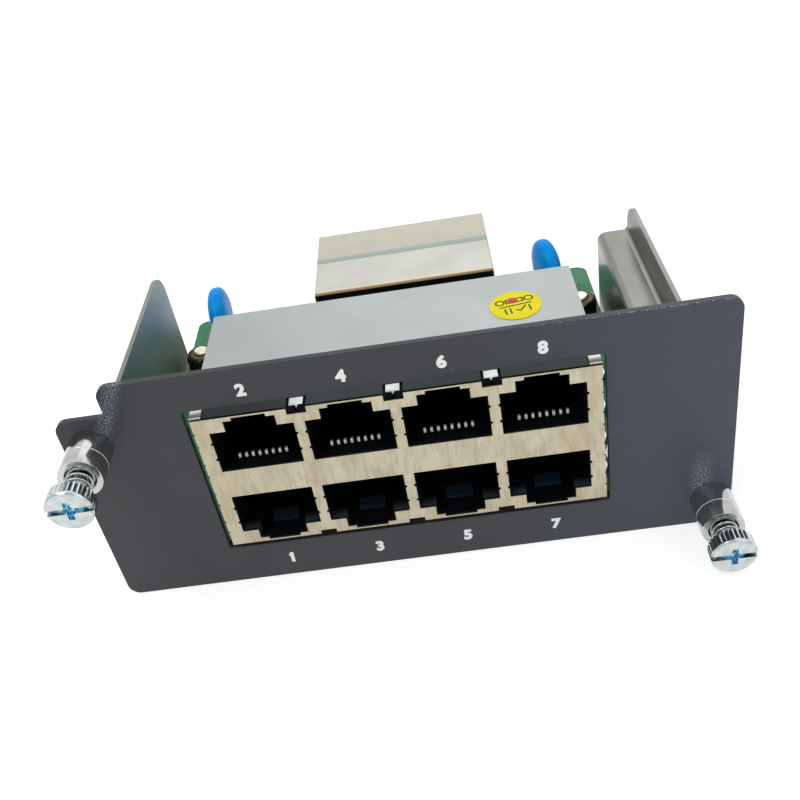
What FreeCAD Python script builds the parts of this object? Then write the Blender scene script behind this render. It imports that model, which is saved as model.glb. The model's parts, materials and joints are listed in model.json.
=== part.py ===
import FreeCAD, Part

import math
import os

import Sketcher

# Switch line card: a folded tray and front panel that carry a board with eight stacked modular
# jacks, a right-angle backplane connector and two spring-loaded captive screws.
# Frame: X to the right across the panel, Y back into the chassis, Z up. The origin is on the base,
# at the middle of the panel's rear (seating) face. Lengths are in millimetres.

Vec = FreeCAD.Vector

SIZES = (
    # front panel
    ("panel_width", 98.0),
    ("panel_height", 41.5),
    ("panel_sheet", 1.0),
    ("panel_corner", 2.0),
    ("ear_width", 7.8),
    ("ear_drop", 5.1),
    ("opening_base", 7.5),
    ("opening_side", 0.85),
    ("opening_sill", 1.65),
    ("opening_head", 1.1),
    ("opening_corner", 0.4),
    # folded tray
    ("tray_sheet", 0.8),
    ("tray_left", 46.0),
    ("tray_right", 40.1),
    ("tray_depth", 55.0),
    ("rail_drop", 6.9),
    ("rail_corner", 5.0),
    ("shelf_height", 23.4),
    ("flange_reach", 45.8),
    ("bend_radius", 0.8),
    ("tab_width", 18.0),
    ("tab_height", 6.0),
    ("tab_spacing", 44.0),
    # circuit board and its fixings
    ("board_sheet", 1.6),
    ("board_front", 0.8),
    ("board_length", 66.8),
    ("board_side_gap", 0.65),
    ("board_corner", 2.0),
    ("stud_inset", 4.55),
    ("stud_front", 7.2),
    ("stud_rear", 18.1),
    ("stud_radius", 1.45),
    ("stud_head_radius", 2.8),
    ("stud_end", 0.5),
    ("stud_hole_gap", 0.15),
    ("clinch_gap", 0.05),
    ("spacer_radius", 2.75),
    ("nut_flats", 5.5),
    ("nut_height", 4.0),
    ("nut_round", 0.5),
    ("nut_gap", 0.05),
    # stacked jack: shield
    ("jack_columns", 4),
    ("jack_pitch", 13.97),
    ("jack_end", 1.46),
    ("jack_offset", 0.2),
    ("jack_height", 25.0),
    ("jack_depth", 28.2),
    ("jack_proud", 1.0),
    ("shield_sheet", 0.25),
    ("port_width", 12.4),
    ("port_height", 7.4),
    ("port_step_width", 7.6),
    ("port_step_height", 1.8),
    ("port_latch_width", 5.0),
    ("port_latch_height", 0.5),
    ("port_web", 5.1),
    ("relief_radius", 0.28),
    ("relief_low", 2.45),
    ("relief_pitch", 2.95),
    ("top_notch_width", 2.9),
    ("top_notch_depth", 2.7),
    ("top_notch_drop", 1.05),
    ("low_notch_width", 2.5),
    ("low_notch_rise", 0.7),
    ("corner_tab_width", 1.7),
    ("corner_tab_depth", 2.3),
    ("corner_tab_height", 0.5),
    ("finger_count", 4),
    ("finger_pitch", 5.83),
    ("finger_width", 2.3),
    ("finger_low", 3.9),
    ("finger_bulge", 0.5),
    ("finger_sheet", 0.2),
    ("finger_root", 0.4),
    ("finger_rise", 1.2),
    ("finger_flat", 0.8),
    ("finger_nick", 0.22),
    # stacked jack: housing, contacts and dividers
    ("housing_gap", 0.05),
    ("port_lip", 0.15),
    ("port_depth", 13.0),
    ("port_channel_depth", 8.5),
    ("port_block_width", 4.2),
    ("port_block_height", 0.6),
    ("port_block_front", 3.4),
    ("port_block_depth", 2.4),
    ("contact_count", 8),
    ("contact_pitch", 1.016),
    ("contact_width", 0.42),
    ("contact_sheet", 0.25),
    ("contact_set_back", 1.9),
    ("contact_nose", 0.9),
    ("contact_lift", 2.4),
    ("contact_reach", 9.6),
    ("contact_rest", 0.05),
    ("upper_tail", 22.0),
    ("lower_tail", 18.0),
    ("tail_length", 1.2),
    ("divider_sheet", 0.25),
    ("divider_slot_gap", 0.05),
    ("divider_length", 17.4),
    ("divider_foot", 2.0),
    ("divider_set_back", 0.6),
    ("divider_tab_width", 2.0),
    ("divider_tab_depth", 1.7),
    ("divider_tab_set_back", 0.75),
    # disc capacitors
    ("capacitor_diameter", 11.0),
    ("capacitor_thickness", 3.9),
    ("capacitor_round", 1.7),
    ("capacitor_lift", 2.5),
    ("capacitor_from_rear", 11.6),
    ("left_capacitor_inset", 8.25),
    ("right_capacitor_inset", 9.25),
    ("left_capacitor_turn", 2.0),
    ("right_capacitor_turn", 13.0),
    ("lead_radius", 0.3),
    ("lead_spacing", 5.0),
    # backplane connector
    ("plug_width", 34.8),
    ("plug_length", 25.0),
    ("plug_height", 12.5),
    ("plug_offset", 1.4),
    ("plug_overhang", 7.4),
    ("plug_step", 12.2),
    ("plug_bevel", 0.6),
    ("plug_seat_gap", 0.3),
    ("plug_chamfer", 0.6),
    ("plug_plate", 0.3),
    ("plug_plate_rise", 0.9),
    ("plug_plate_margin", 0.2),
    ("plug_columns", 16),
    ("plug_rows", 5),
    ("plug_pitch", 2.0),
    ("plug_cell", 1.0),
    ("plug_cell_depth", 3.0),
    ("plug_cell_low", 2.2),
    ("plug_pin", 0.4),
    ("plug_pin_front", 2.6),
    ("plug_pin_root", 1.5),
    # parts on the board and on the jack
    ("chip_side", 11.0),
    ("chip_height", 1.2),
    ("chip_rear_gap", 1.2),
    ("transformer_count", 4),
    ("transformer_pitch", 15.0),
    ("transformer_width", 12.7),
    ("transformer_depth", 7.6),
    ("transformer_height", 5.0),
    ("transformer_gap", 2.4),
    ("part_chamfer", 0.3),
    ("sticker_diameter", 8.0),
    ("sticker_sheet", 0.1),
    ("sticker_right", 9.8),
    ("sticker_back", 18.4),
    # captive screws
    ("left_screw_inset", 4.2),
    ("right_screw_inset", 3.2),
    ("screw_edge", 5.1),
    ("left_reach", 4.1),
    ("right_reach", 3.25),
    ("retainer_radius", 3.25),
    ("retainer_length", 7.0),
    ("retainer_spigot", 2.6),
    ("retainer_bore", 2.25),
    ("retainer_bore_depth", 3.0),
    ("retainer_collar", 0.8),
    ("retainer_groove", 3.78),
    ("retainer_groove_depth", 0.12),
    ("retainer_edge", 0.2),
    ("press_gap", 0.02),
    ("running_gap", 0.08),
    ("screw_neck", 1.25),
    ("screw_thread", 1.5),
    ("screw_tip", 0.3),
    ("screw_set_back", 0.2),
    ("head_radius", 3.4),
    ("head_thickness", 2.4),
    ("head_edge", 0.25),
    ("knurl_count", 30),
    ("knurl_depth", 0.25),
    ("knurl_width", 0.5),
    ("knurl_rim", 0.5),
    ("slot_width", 0.9),
    ("slot_depth", 0.8),
    ("cross_length", 3.2),
    ("cross_depth", 1.0),
    ("cross_cone_radius", 0.85),
    ("cross_cone_depth", 1.7),
    ("spring_radius", 1.85),
    ("spring_wire", 0.34),
    ("spring_turns", 6),
    ("spring_segments", 10),
    ("spring_seat", 0.08),
)

doc = FreeCAD.newDocument("SwitchLineCard")
sheet = doc.addObject("Spreadsheet::Sheet", "Sizes")
for row, (alias, value) in enumerate(SIZES, start=1):
    sheet.set(f"A{row}", alias)
    sheet.set(f"B{row}", str(value))
    sheet.setAlias(f"B{row}", alias)
doc.recompute()


def size(name):
    """The expression that reads one value of the sheet."""
    return f"Sizes.{name}"


def number(expression):
    """The present value of an expression on the sheet."""
    return float(sheet.evalExpression(expression))


# ---------------------------------------------------------------- shared places, as expressions
HALF_PANEL = "(Sizes.panel_width / 2)"
EAR_TOP = "(Sizes.panel_height - Sizes.ear_drop)"
PANEL_FRONT = "(-Sizes.panel_sheet)"
BOARD_TOP = "(Sizes.opening_base + Sizes.opening_sill)"
BOARD_BOTTOM = f"({BOARD_TOP} - Sizes.board_sheet)"
BOARD_REAR = "(Sizes.board_front + Sizes.board_length)"
BOARD_LEFT = "(-Sizes.tray_left + Sizes.tray_sheet + Sizes.board_side_gap)"
BOARD_RIGHT = "(Sizes.tray_right - Sizes.tray_sheet - Sizes.board_side_gap)"
STUD_LEFT = "(-Sizes.tray_left + Sizes.tray_sheet + Sizes.stud_inset)"
STUD_RIGHT = "(Sizes.tray_right - Sizes.tray_sheet - Sizes.stud_inset)"
STUD_FRONT = "(Sizes.board_front + Sizes.stud_front)"
STUD_REAR = f"({BOARD_REAR} - Sizes.stud_rear)"
STUD_HOLE = "(Sizes.stud_radius + Sizes.stud_hole_gap)"
JACK_WIDTH = "(Sizes.jack_columns * Sizes.jack_pitch + 2 * Sizes.jack_end)"
JACK_LEFT = f"(Sizes.jack_offset - {JACK_WIDTH} / 2)"
JACK_RIGHT = f"(Sizes.jack_offset + {JACK_WIDTH} / 2)"
JACK_FRONT = f"({PANEL_FRONT} - Sizes.jack_proud)"
JACK_REAR = f"({JACK_FRONT} + Sizes.jack_depth)"
JACK_TOP = f"({BOARD_TOP} + Sizes.jack_height)"
JACK_MIDDLE = f"({BOARD_TOP} + Sizes.jack_height / 2)"
FIRST_COLUMN = "(Sizes.jack_offset - (Sizes.jack_columns - 1) * Sizes.jack_pitch / 2)"
FIRST_DIVIDER = f"({FIRST_COLUMN} + Sizes.jack_pitch / 2)"
DIVIDERS = "(Sizes.jack_columns - 1)"
OPENING_HALF = f"({JACK_WIDTH} / 2 + Sizes.opening_side)"
OPENING_TOP = f"({JACK_TOP} + Sizes.opening_head)"
INSET = "(Sizes.shield_sheet + Sizes.housing_gap)"
HOUSING_FRONT = f"({JACK_FRONT} + {INSET})"
HOUSING_TOP = f"({JACK_TOP} - {INSET})"
PLUG_REAR = f"({BOARD_REAR} + Sizes.plug_overhang)"
PLUG_FRONT = f"({PLUG_REAR} - Sizes.plug_length)"
PLUG_TOP = f"({BOARD_TOP} + Sizes.plug_height)"
PLUG_STEP = f"({PLUG_REAR} - Sizes.plug_step)"
RETAINER_RIM = f"({PANEL_FRONT} - Sizes.retainer_length)"
COLLAR_FRONT = f"({RETAINER_RIM} + Sizes.retainer_bore_depth)"
COLLAR_REAR = f"({COLLAR_FRONT} + Sizes.retainer_collar)"
LEFT_SCREW = (f"(-{HALF_PANEL} + Sizes.left_screw_inset)", f"({EAR_TOP} - Sizes.screw_edge)")
RIGHT_SCREW = (f"({HALF_PANEL} - Sizes.right_screw_inset)", "Sizes.screw_edge")


# ---------------------------------------------------------------- building blocks
def origin_part(body, role):
    """The body's own origin plane or axis with this role."""
    return next(part for part in body.Origin.OriginFeatures if part.Role == role)


def new_body(label):
    """A body whose label names its file."""
    body = doc.addObject("PartDesign::Body", label)
    body.Label = label
    return body


def new_sketch(body, plane, name, shift=(None, None, None)):
    """A sketch on an origin plane, moved by expressions along the sketch's own axes."""
    sketch = body.newObject("Sketcher::SketchObject", name)
    sketch.AttachmentSupport = [(origin_part(body, plane), "")]
    sketch.MapMode = "FlatFace"
    for axis, expression in zip("xyz", shift):
        if expression is not None:
            sketch.setExpression(f"AttachmentOffset.Base.{axis}", expression)
    return sketch


def tie(sketch, kind, *arguments):
    """Adds a constraint whose value, the last argument, is an expression."""
    *where, expression = arguments
    index = sketch.addConstraint(Sketcher.Constraint(kind, *where, number(expression)))
    sketch.setExpression(f"Constraints[{index}]", expression)


def add_loop(sketch, points):
    """A closed outline of straight lines, each corner tied to the sheet."""
    first = sketch.GeometryCount
    corners = [Vec(number(x), number(y), 0) for x, y in points]
    count = len(corners)
    for index, corner in enumerate(corners):
        following = corners[(index + 1) % count]
        sketch.addGeometry(Part.LineSegment(corner, following), False)
    for index in range(count):
        line, after = first + index, first + (index + 1) % count
        sketch.addConstraint(Sketcher.Constraint("Coincident", line, 2, after, 1))
    for index, (x, y) in enumerate(points):
        tie(sketch, "DistanceX", -1, 1, first + index, 1, x)
        tie(sketch, "DistanceY", -1, 1, first + index, 1, y)


def add_rectangle(sketch, left, right, low, high):
    """A rectangle between two sides and two heights."""
    add_loop(sketch, [(left, low), (right, low), (right, high), (left, high)])


def add_circle(sketch, x, y, radius):
    """A circle with its centre and radius tied to the sheet."""
    centre = Vec(number(x), number(y), 0)
    circle = Part.Circle(centre, Vec(0, 0, 1), number(radius))
    index = sketch.addGeometry(circle, False)
    tie(sketch, "Radius", index, radius)
    tie(sketch, "DistanceX", -1, 1, index, 3, x)
    tie(sketch, "DistanceY", -1, 1, index, 3, y)


def pad(body, sketch, length, reverse=False, middle=False):
    """Adds material along the sketch's normal, against it, or on both sides."""
    feature = body.newObject("PartDesign::Pad", f"{sketch.Name}_pad")
    feature.Profile = sketch
    feature.Reversed = reverse
    feature.Midplane = middle
    feature.setExpression("Length", length)
    sketch.Visibility = False
    doc.recompute()
    return feature


def pocket(body, sketch, length=None, reverse=False):
    """Cuts against the sketch's normal, or along it, or right through both ways."""
    before = body.Shape.Volume
    feature = body.newObject("PartDesign::Pocket", f"{sketch.Name}_pocket")
    feature.Profile = sketch
    if length is None:
        feature.Type = "ThroughAll"
        feature.Midplane = True
    else:
        feature.Reversed = reverse
        feature.setExpression("Length", length)
    doc.recompute()
    if not body.Shape.Volume < before:
        raise RuntimeError(f"{sketch.Name} cut nothing from {body.Label}")
    return feature


def revolve(body, sketch):
    """Turns an outline about the sketch's vertical axis."""
    feature = body.newObject("PartDesign::Revolution", f"{sketch.Name}_turned")
    feature.Profile = sketch
    feature.ReferenceAxis = (sketch, ["V_Axis"])
    doc.recompute()
    return feature


def groove(body, sketch):
    """Cuts the turned form of an outline about the sketch's vertical axis."""
    before = body.Shape.Volume
    feature = body.newObject("PartDesign::Groove", f"{sketch.Name}_groove")
    feature.Profile = sketch
    feature.ReferenceAxis = (sketch, ["V_Axis"])
    body.Tip = feature
    doc.recompute()
    if not body.Shape.Volume < before:
        raise RuntimeError(f"{sketch.Name} cut nothing from {body.Label}")
    return feature


def line_pattern(body, feature, axis, count, pitch):
    """Repeats a feature along one of the body's axes."""
    pattern = body.newObject("PartDesign::LinearPattern", f"{feature.Name}_row")
    pattern.Originals = [feature]
    pattern.Direction = (origin_part(body, axis), [""])
    pattern.setExpression("Occurrences", count)
    pattern.setExpression("Length", f"({count} - 1) * {pitch}")
    body.Tip = pattern
    doc.recompute()
    return pattern


def grid_pattern(body, feature, *directions):
    """Repeats a feature along two directions, each an (axis, count, pitch)."""
    grid = body.newObject("PartDesign::MultiTransform", f"{feature.Name}_grid")
    steps = []
    for index, (axis, count, pitch) in enumerate(directions):
        step = doc.addObject("PartDesign::LinearPattern", f"{feature.Name}_step{index}")
        body.addObject(step)
        step.Direction = (origin_part(body, axis), [""])
        step.setExpression("Occurrences", count)
        step.setExpression("Length", f"({count} - 1) * {pitch}")
        steps.append(step)
    grid.Originals = [feature]
    grid.Transformations = steps
    body.Tip = grid
    doc.recompute()
    return grid


def edge_names(shape, test):
    """The names of the edges whose middle point passes a test."""
    names = []
    for index, edge in enumerate(shape.Edges, start=1):
        low, high = edge.ParameterRange
        if test(edge, edge.valueAt((low + high) / 2)):
            names.append(f"Edge{index}")
    return names


def near(value, expression):
    """Whether a coordinate lies at an expression's value."""
    return abs(value - number(expression)) < 0.01


def runs_along(edge, axis):
    """Whether an edge is a straight line along an axis."""
    if edge.Curve.TypeId != "Part::GeomLine":
        return False
    return abs(abs(edge.Curve.Direction.dot(axis)) - 1) < 1e-6


def soften(body, kind, names, length):
    """A fillet or chamfer of the body's present tip along named edges."""
    base = body.Tip
    feature = body.newObject(f"PartDesign::{kind}", f"{base.Name}_{kind.lower()}")
    feature.Base = (base, names)
    feature.setExpression("Radius" if kind == "Fillet" else "Size", length)
    body.Tip = feature
    doc.recompute()
    return feature


# ---------------------------------------------------------------- front panel
def make_front_panel():
    """The flat panel with its fixing ear, the jack opening and the two retainer holes."""
    body = new_body("front_panel")
    outline = new_sketch(body, "XZ_Plane", "panel_outline")
    left, right = f"-{HALF_PANEL}", HALF_PANEL
    ear = f"({left} + Sizes.ear_width)"
    add_loop(
        outline,
        [
            (left, "0"),
            (right, "0"),
            (right, size("panel_height")),
            (ear, size("panel_height")),
            (ear, EAR_TOP),
            (left, EAR_TOP),
        ],
    )
    pad(body, outline, size("panel_sheet"))

    opening = new_sketch(body, "XZ_Plane", "panel_opening")
    add_rectangle(
        opening, f"-{OPENING_HALF}", OPENING_HALF, size("opening_base"), OPENING_TOP
    )
    pocket(body, opening)

    holes = new_sketch(body, "XZ_Plane", "panel_retainer_holes")
    for x, z in (LEFT_SCREW, RIGHT_SCREW):
        add_circle(holes, x, z, "(Sizes.retainer_spigot + Sizes.press_gap)")
    pocket(body, holes)

    across = Vec(0, 1, 0)

    def outer_corner(edge, point):
        low = near(point.z, "0") and abs(point.x) > number(OPENING_HALF)
        high = near(point.z, size("panel_height"))
        tip = near(point.z, EAR_TOP) and near(point.x, left)
        return runs_along(edge, across) and (low or high or tip)

    def opening_corner(edge, point):
        return runs_along(edge, across) and abs(abs(point.x) - number(OPENING_HALF)) < 0.01

    soften(body, "Fillet", edge_names(body.Shape, outer_corner), size("panel_corner"))
    soften(body, "Fillet", edge_names(body.Shape, opening_corner), size("opening_corner"))
    return body


# ---------------------------------------------------------------- folded tray
def make_tray():
    """One folded sheet: floor, plain left rail, stepped right rail and two front tabs."""
    body = new_body("tray_chassis")
    section = new_sketch(body, "XZ_Plane", "tray_section")
    left, right = "-Sizes.tray_left", size("tray_right")
    sheet_in = "Sizes.tray_sheet"
    shelf, under = size("shelf_height"), "(Sizes.shelf_height - Sizes.tray_sheet)"
    flange, flange_in = size("flange_reach"), "(Sizes.flange_reach - Sizes.tray_sheet)"
    left_in, right_in = f"({left} + {sheet_in})", f"({right} - {sheet_in})"
    top = f"({EAR_TOP} - Sizes.rail_drop)"
    add_loop(
        section,
        [
            (left, "0"),
            (right, "0"),
            (right, under),
            (flange, under),
            (flange, top),
            (flange_in, top),
            (flange_in, shelf),
            (right_in, shelf),
            (right_in, sheet_in),
            (left_in, sheet_in),
            (left_in, top),
            (left, top),
        ],
    )
    pad(body, section, size("tray_depth"), reverse=True)

    along, across = Vec(0, 1, 0), Vec(1, 0, 0)
    inner = ((left_in, sheet_in), (right_in, sheet_in), (right, under), (flange_in, shelf))
    outer = ((left, "0"), (right, "0"), (right_in, shelf), (flange, under))
    for bends, radius in (
        (inner, size("bend_radius")),
        (outer, "(Sizes.bend_radius + Sizes.tray_sheet)"),
    ):

        def on_bend(edge, point, corners=bends):
            return runs_along(edge, along) and any(
                near(point.x, x) and near(point.z, z) for x, z in corners
            )

        soften(body, "Fillet", edge_names(body.Shape, on_bend), radius)

    def rear_corner(edge, point):
        return (
            runs_along(edge, across) and near(point.z, top) and near(point.y, size("tray_depth"))
        )

    soften(body, "Fillet", edge_names(body.Shape, rear_corner), size("rail_corner"))

    tabs = new_sketch(body, "XZ_Plane", "tray_tabs")
    for side in ("-", "+"):
        middle = f"({side}Sizes.tab_spacing / 2)"
        add_rectangle(
            tabs,
            f"({middle} - Sizes.tab_width / 2)",
            f"({middle} + Sizes.tab_width / 2)",
            "(Sizes.tray_sheet / 2)",
            size("tab_height"),
        )
    pad(body, tabs, sheet_in, reverse=True)

    holes = new_sketch(body, "XY_Plane", "tray_clinch_holes")
    for x in (STUD_LEFT, STUD_RIGHT):
        for y in (STUD_FRONT, STUD_REAR):
            add_circle(holes, x, y, "(Sizes.stud_head_radius + Sizes.clinch_gap)")
    pocket(body, holes, "Sizes.tray_sheet * 2", reverse=True)
    return body


# ---------------------------------------------------------------- board and its fixings
def make_board():
    """The board with its rounded rear corners and four fixing holes."""
    body = new_body("circuit_board")
    outline = new_sketch(body, "XY_Plane", "board_outline", (None, None, BOARD_BOTTOM))
    add_rectangle(outline, BOARD_LEFT, BOARD_RIGHT, size("board_front"), BOARD_REAR)
    for x in (STUD_LEFT, STUD_RIGHT):
        for y in (STUD_FRONT, STUD_REAR):
            add_circle(outline, x, y, STUD_HOLE)
    pad(body, outline, size("board_sheet"))

    def rear_corner(edge, point):
        return runs_along(edge, Vec(0, 0, 1)) and near(point.y, BOARD_REAR)

    soften(body, "Fillet", edge_names(body.Shape, rear_corner), size("board_corner"))
    return body


def on_studs(body, feature):
    """Repeats a feature from the front left stud to all four."""
    return grid_pattern(
        body,
        feature,
        ("X_Axis", "2", f"({STUD_RIGHT} - {STUD_LEFT})"),
        ("Y_Axis", "2", f"({STUD_REAR} - {STUD_FRONT})"),
    )


def make_studs():
    """Clinched studs, heads flush with the underside of the tray."""
    body = new_body("board_studs")
    profile = new_sketch(body, "XZ_Plane", "stud_profile", (STUD_LEFT, None, f"-{STUD_FRONT}"))
    tip = f"({BOARD_TOP} + Sizes.nut_height + Sizes.stud_end)"
    add_loop(
        profile,
        [
            ("0", "0"),
            (size("stud_head_radius"), "0"),
            (size("stud_head_radius"), size("tray_sheet")),
            (size("stud_radius"), size("tray_sheet")),
            (size("stud_radius"), f"({tip} - Sizes.stud_end / 2)"),
            ("(Sizes.stud_radius - Sizes.stud_end / 2)", tip),
            ("0", tip),
        ],
    )
    on_studs(body, revolve(body, profile))
    return body


def make_spacers():
    """Round spacers between the tray and the board."""
    body = new_body("board_spacers")
    ring = new_sketch(body, "XY_Plane", "spacer_ring", (None, None, size("tray_sheet")))
    add_circle(ring, STUD_LEFT, STUD_FRONT, size("spacer_radius"))
    add_circle(ring, STUD_LEFT, STUD_FRONT, STUD_HOLE)
    on_studs(body, pad(body, ring, f"({BOARD_BOTTOM} - Sizes.tray_sheet)"))
    return body


def make_nuts():
    """Hexagon nuts that clamp the board, their upper edges rounded."""
    body = new_body("board_nuts")
    outline = new_sketch(body, "XY_Plane", "nut_outline", (STUD_LEFT, STUD_FRONT, BOARD_TOP))
    half, corner = "(Sizes.nut_flats / 2)", "(Sizes.nut_flats / sqrt(3))"
    add_loop(
        outline,
        [
            (half, f"(-{corner} / 2)"),
            (half, f"({corner} / 2)"),
            ("0", corner),
            (f"(-{half})", f"({corner} / 2)"),
            (f"(-{half})", f"(-{corner} / 2)"),
            ("0", f"(-{corner})"),
        ],
    )
    add_circle(outline, "0", "0", "(Sizes.stud_radius + Sizes.nut_gap)")
    block = pad(body, outline, size("nut_height"))
    crown = new_sketch(body, "XZ_Plane", "nut_crown", (STUD_LEFT, None, f"-{STUD_FRONT}"))
    top = f"({BOARD_TOP} + Sizes.nut_height)"
    add_loop(
        crown,
        [
            (f"({half} - Sizes.nut_round / 2)", top),
            (corner, f"({top} - Sizes.nut_round)"),
            (f"({corner} + Sizes.nut_round)", f"({top} - Sizes.nut_round)"),
            (f"({corner} + Sizes.nut_round)", f"({top} + Sizes.nut_round)"),
            (f"({half} - Sizes.nut_round / 2)", f"({top} + Sizes.nut_round)"),
        ],
    )
    bevel = groove(body, crown)
    grid = on_studs(body, block)
    grid.Originals = [block, bevel]
    doc.recompute()
    return body


# ---------------------------------------------------------------- stacked jack
def port_level(row, distance):
    """A height in a port, measured from the web between the rows, up for + and down for -."""
    return f"({JACK_MIDDLE} {row} (Sizes.port_web / 2 + {distance}))"


PORT_STEP = "(Sizes.port_height + Sizes.port_step_height)"
LATCH_END = f"({PORT_STEP} + Sizes.port_latch_height)"


def port_outline(sketch, row, inset, latch_end):
    """The stepped outline of one port, its latch channel running out to a given height."""
    x = FIRST_COLUMN
    wide, step, latch = (
        f"(Sizes.{name} / 2 - {inset})"
        for name in ("port_width", "port_step_width", "port_latch_width")
    )
    shoulder = port_level(row, f"Sizes.port_height - {inset}")
    right = [
        (wide, port_level(row, inset)),
        (wide, shoulder),
        (step, shoulder),
        (step, port_level(row, f"{PORT_STEP} - {inset}")),
        (latch, port_level(row, f"{PORT_STEP} - {inset}")),
        (latch, latch_end),
    ]
    loop = [(f"({x} + {width})", z) for width, z in right]
    loop += [(f"({x} - {width})", z) for width, z in reversed(right)]
    add_loop(sketch, loop)


def make_shield():
    """The folded metal shield: open below, eight ports, spring fingers, notches and corner tabs."""
    body = new_body("jack_shield")
    face_shift = (None, None, f"-{JACK_FRONT}")
    block = new_sketch(body, "XZ_Plane", "shield_block", face_shift)
    add_rectangle(block, JACK_LEFT, JACK_RIGHT, BOARD_TOP, JACK_TOP)
    pad(body, block, size("jack_depth"), reverse=True)

    hollow = new_sketch(body, "XY_Plane", "shield_hollow", (None, None, BOARD_TOP))
    add_rectangle(
        hollow,
        f"({JACK_LEFT} + Sizes.shield_sheet)",
        f"({JACK_RIGHT} - Sizes.shield_sheet)",
        f"({JACK_FRONT} + Sizes.shield_sheet)",
        f"({JACK_REAR} - Sizes.shield_sheet)",
    )
    pocket(body, hollow, "Sizes.jack_height - Sizes.shield_sheet", reverse=True)

    ports = new_sketch(body, "XZ_Plane", "shield_ports", face_shift)
    for row in ("+", "-"):
        port_outline(ports, row, "0", port_level(row, LATCH_END))
    through_face = "Sizes.shield_sheet * 2"
    opening = pocket(body, ports, through_face)
    line_pattern(body, opening, "X_Axis", size("jack_columns"), size("jack_pitch"))

    reliefs = new_sketch(body, "XZ_Plane", "shield_reliefs", face_shift)
    for row in ("+", "-"):
        for low in ("Sizes.relief_low", "Sizes.relief_low + Sizes.relief_pitch"):
            z = port_level(row, low)
            for side in ("-", "+"):
                x = f"({FIRST_COLUMN} {side} Sizes.port_width / 2)"
                add_circle(reliefs, x, z, size("relief_radius"))
    relief = pocket(body, reliefs, through_face)
    line_pattern(body, relief, "X_Axis", size("jack_columns"), size("jack_pitch"))

    top_notch = new_sketch(body, "XY_Plane", "shield_top_notch", (None, None, JACK_TOP))
    add_rectangle(
        top_notch,
        f"({FIRST_DIVIDER} - Sizes.top_notch_width / 2)",
        f"({FIRST_DIVIDER} + Sizes.top_notch_width / 2)",
        f"({JACK_FRONT} - Sizes.shield_sheet)",
        f"({JACK_FRONT} + Sizes.top_notch_depth)",
    )
    notch = pocket(body, top_notch, size("top_notch_drop"))
    line_pattern(body, notch, "X_Axis", DIVIDERS, size("jack_pitch"))

    low_notch = new_sketch(body, "XY_Plane", "shield_low_notch", (None, None, BOARD_TOP))
    add_rectangle(
        low_notch,
        f"({FIRST_DIVIDER} - Sizes.low_notch_width / 2)",
        f"({FIRST_DIVIDER} + Sizes.low_notch_width / 2)",
        f"({JACK_FRONT} - Sizes.shield_sheet)",
        f"({JACK_FRONT} + Sizes.shield_sheet * 2)",
    )
    notch = pocket(body, low_notch, size("low_notch_rise"), reverse=True)
    line_pattern(body, notch, "X_Axis", DIVIDERS, size("jack_pitch"))

    finger_low = f"({BOARD_TOP} + Sizes.finger_low - Sizes.finger_width / 2)"
    root = f"({JACK_FRONT} + Sizes.finger_root)"
    crest = f"({root} + Sizes.finger_rise)"
    fall = f"({crest} + Sizes.finger_flat)"
    foot = f"({fall} + Sizes.finger_rise)"
    windows = new_sketch(body, "YZ_Plane", "shield_windows")
    add_rectangle(
        windows,
        f"({root} + Sizes.finger_sheet)",
        f"({foot} - Sizes.finger_sheet)",
        finger_low,
        f"({finger_low} + Sizes.finger_width)",
    )
    window = pocket(body, windows)
    line_pattern(body, window, "Z_Axis", size("finger_count"), size("finger_pitch"))
    fingers = new_sketch(body, "XY_Plane", "shield_fingers", (None, None, finger_low))
    for side, wall in (("-", JACK_LEFT), ("+", JACK_RIGHT)):
        inward = "+" if side == "-" else "-"
        inner = f"({wall} {inward} Sizes.finger_sheet)"
        crest_out = f"({wall} {side} Sizes.finger_bulge)"
        crest_in = f"({crest_out} {inward} Sizes.finger_sheet)"
        add_loop(
            fingers,
            [
                (wall, root),
                (crest_out, crest),
                (crest_out, fall),
                (wall, foot),
                (inner, foot),
                (crest_in, fall),
                (crest_in, crest),
                (inner, root),
            ],
        )
    finger = pad(body, fingers, size("finger_width"))
    line_pattern(body, finger, "Z_Axis", size("finger_count"), size("finger_pitch"))

    nicks = new_sketch(body, "XZ_Plane", "shield_finger_nicks", face_shift)
    for x in (JACK_LEFT, JACK_RIGHT):
        for z in (finger_low, f"({finger_low} + Sizes.finger_width)"):
            add_circle(nicks, x, z, size("finger_nick"))
    nick = pocket(body, nicks, size("finger_root"))
    line_pattern(body, nick, "Z_Axis", size("finger_count"), size("finger_pitch"))

    corners = new_sketch(body, "XY_Plane", "shield_corner_tabs", (None, None, JACK_TOP))
    near_edge = f"({JACK_FRONT} + Sizes.shield_sheet)"
    far_edge = f"({near_edge} + Sizes.corner_tab_depth)"
    add_rectangle(
        corners, JACK_LEFT, f"({JACK_LEFT} + Sizes.corner_tab_width)", near_edge, far_edge
    )
    add_rectangle(
        corners, f"({JACK_RIGHT} - Sizes.corner_tab_width)", JACK_RIGHT, near_edge, far_edge
    )
    pad(body, corners, size("corner_tab_height"))
    return body


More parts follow.
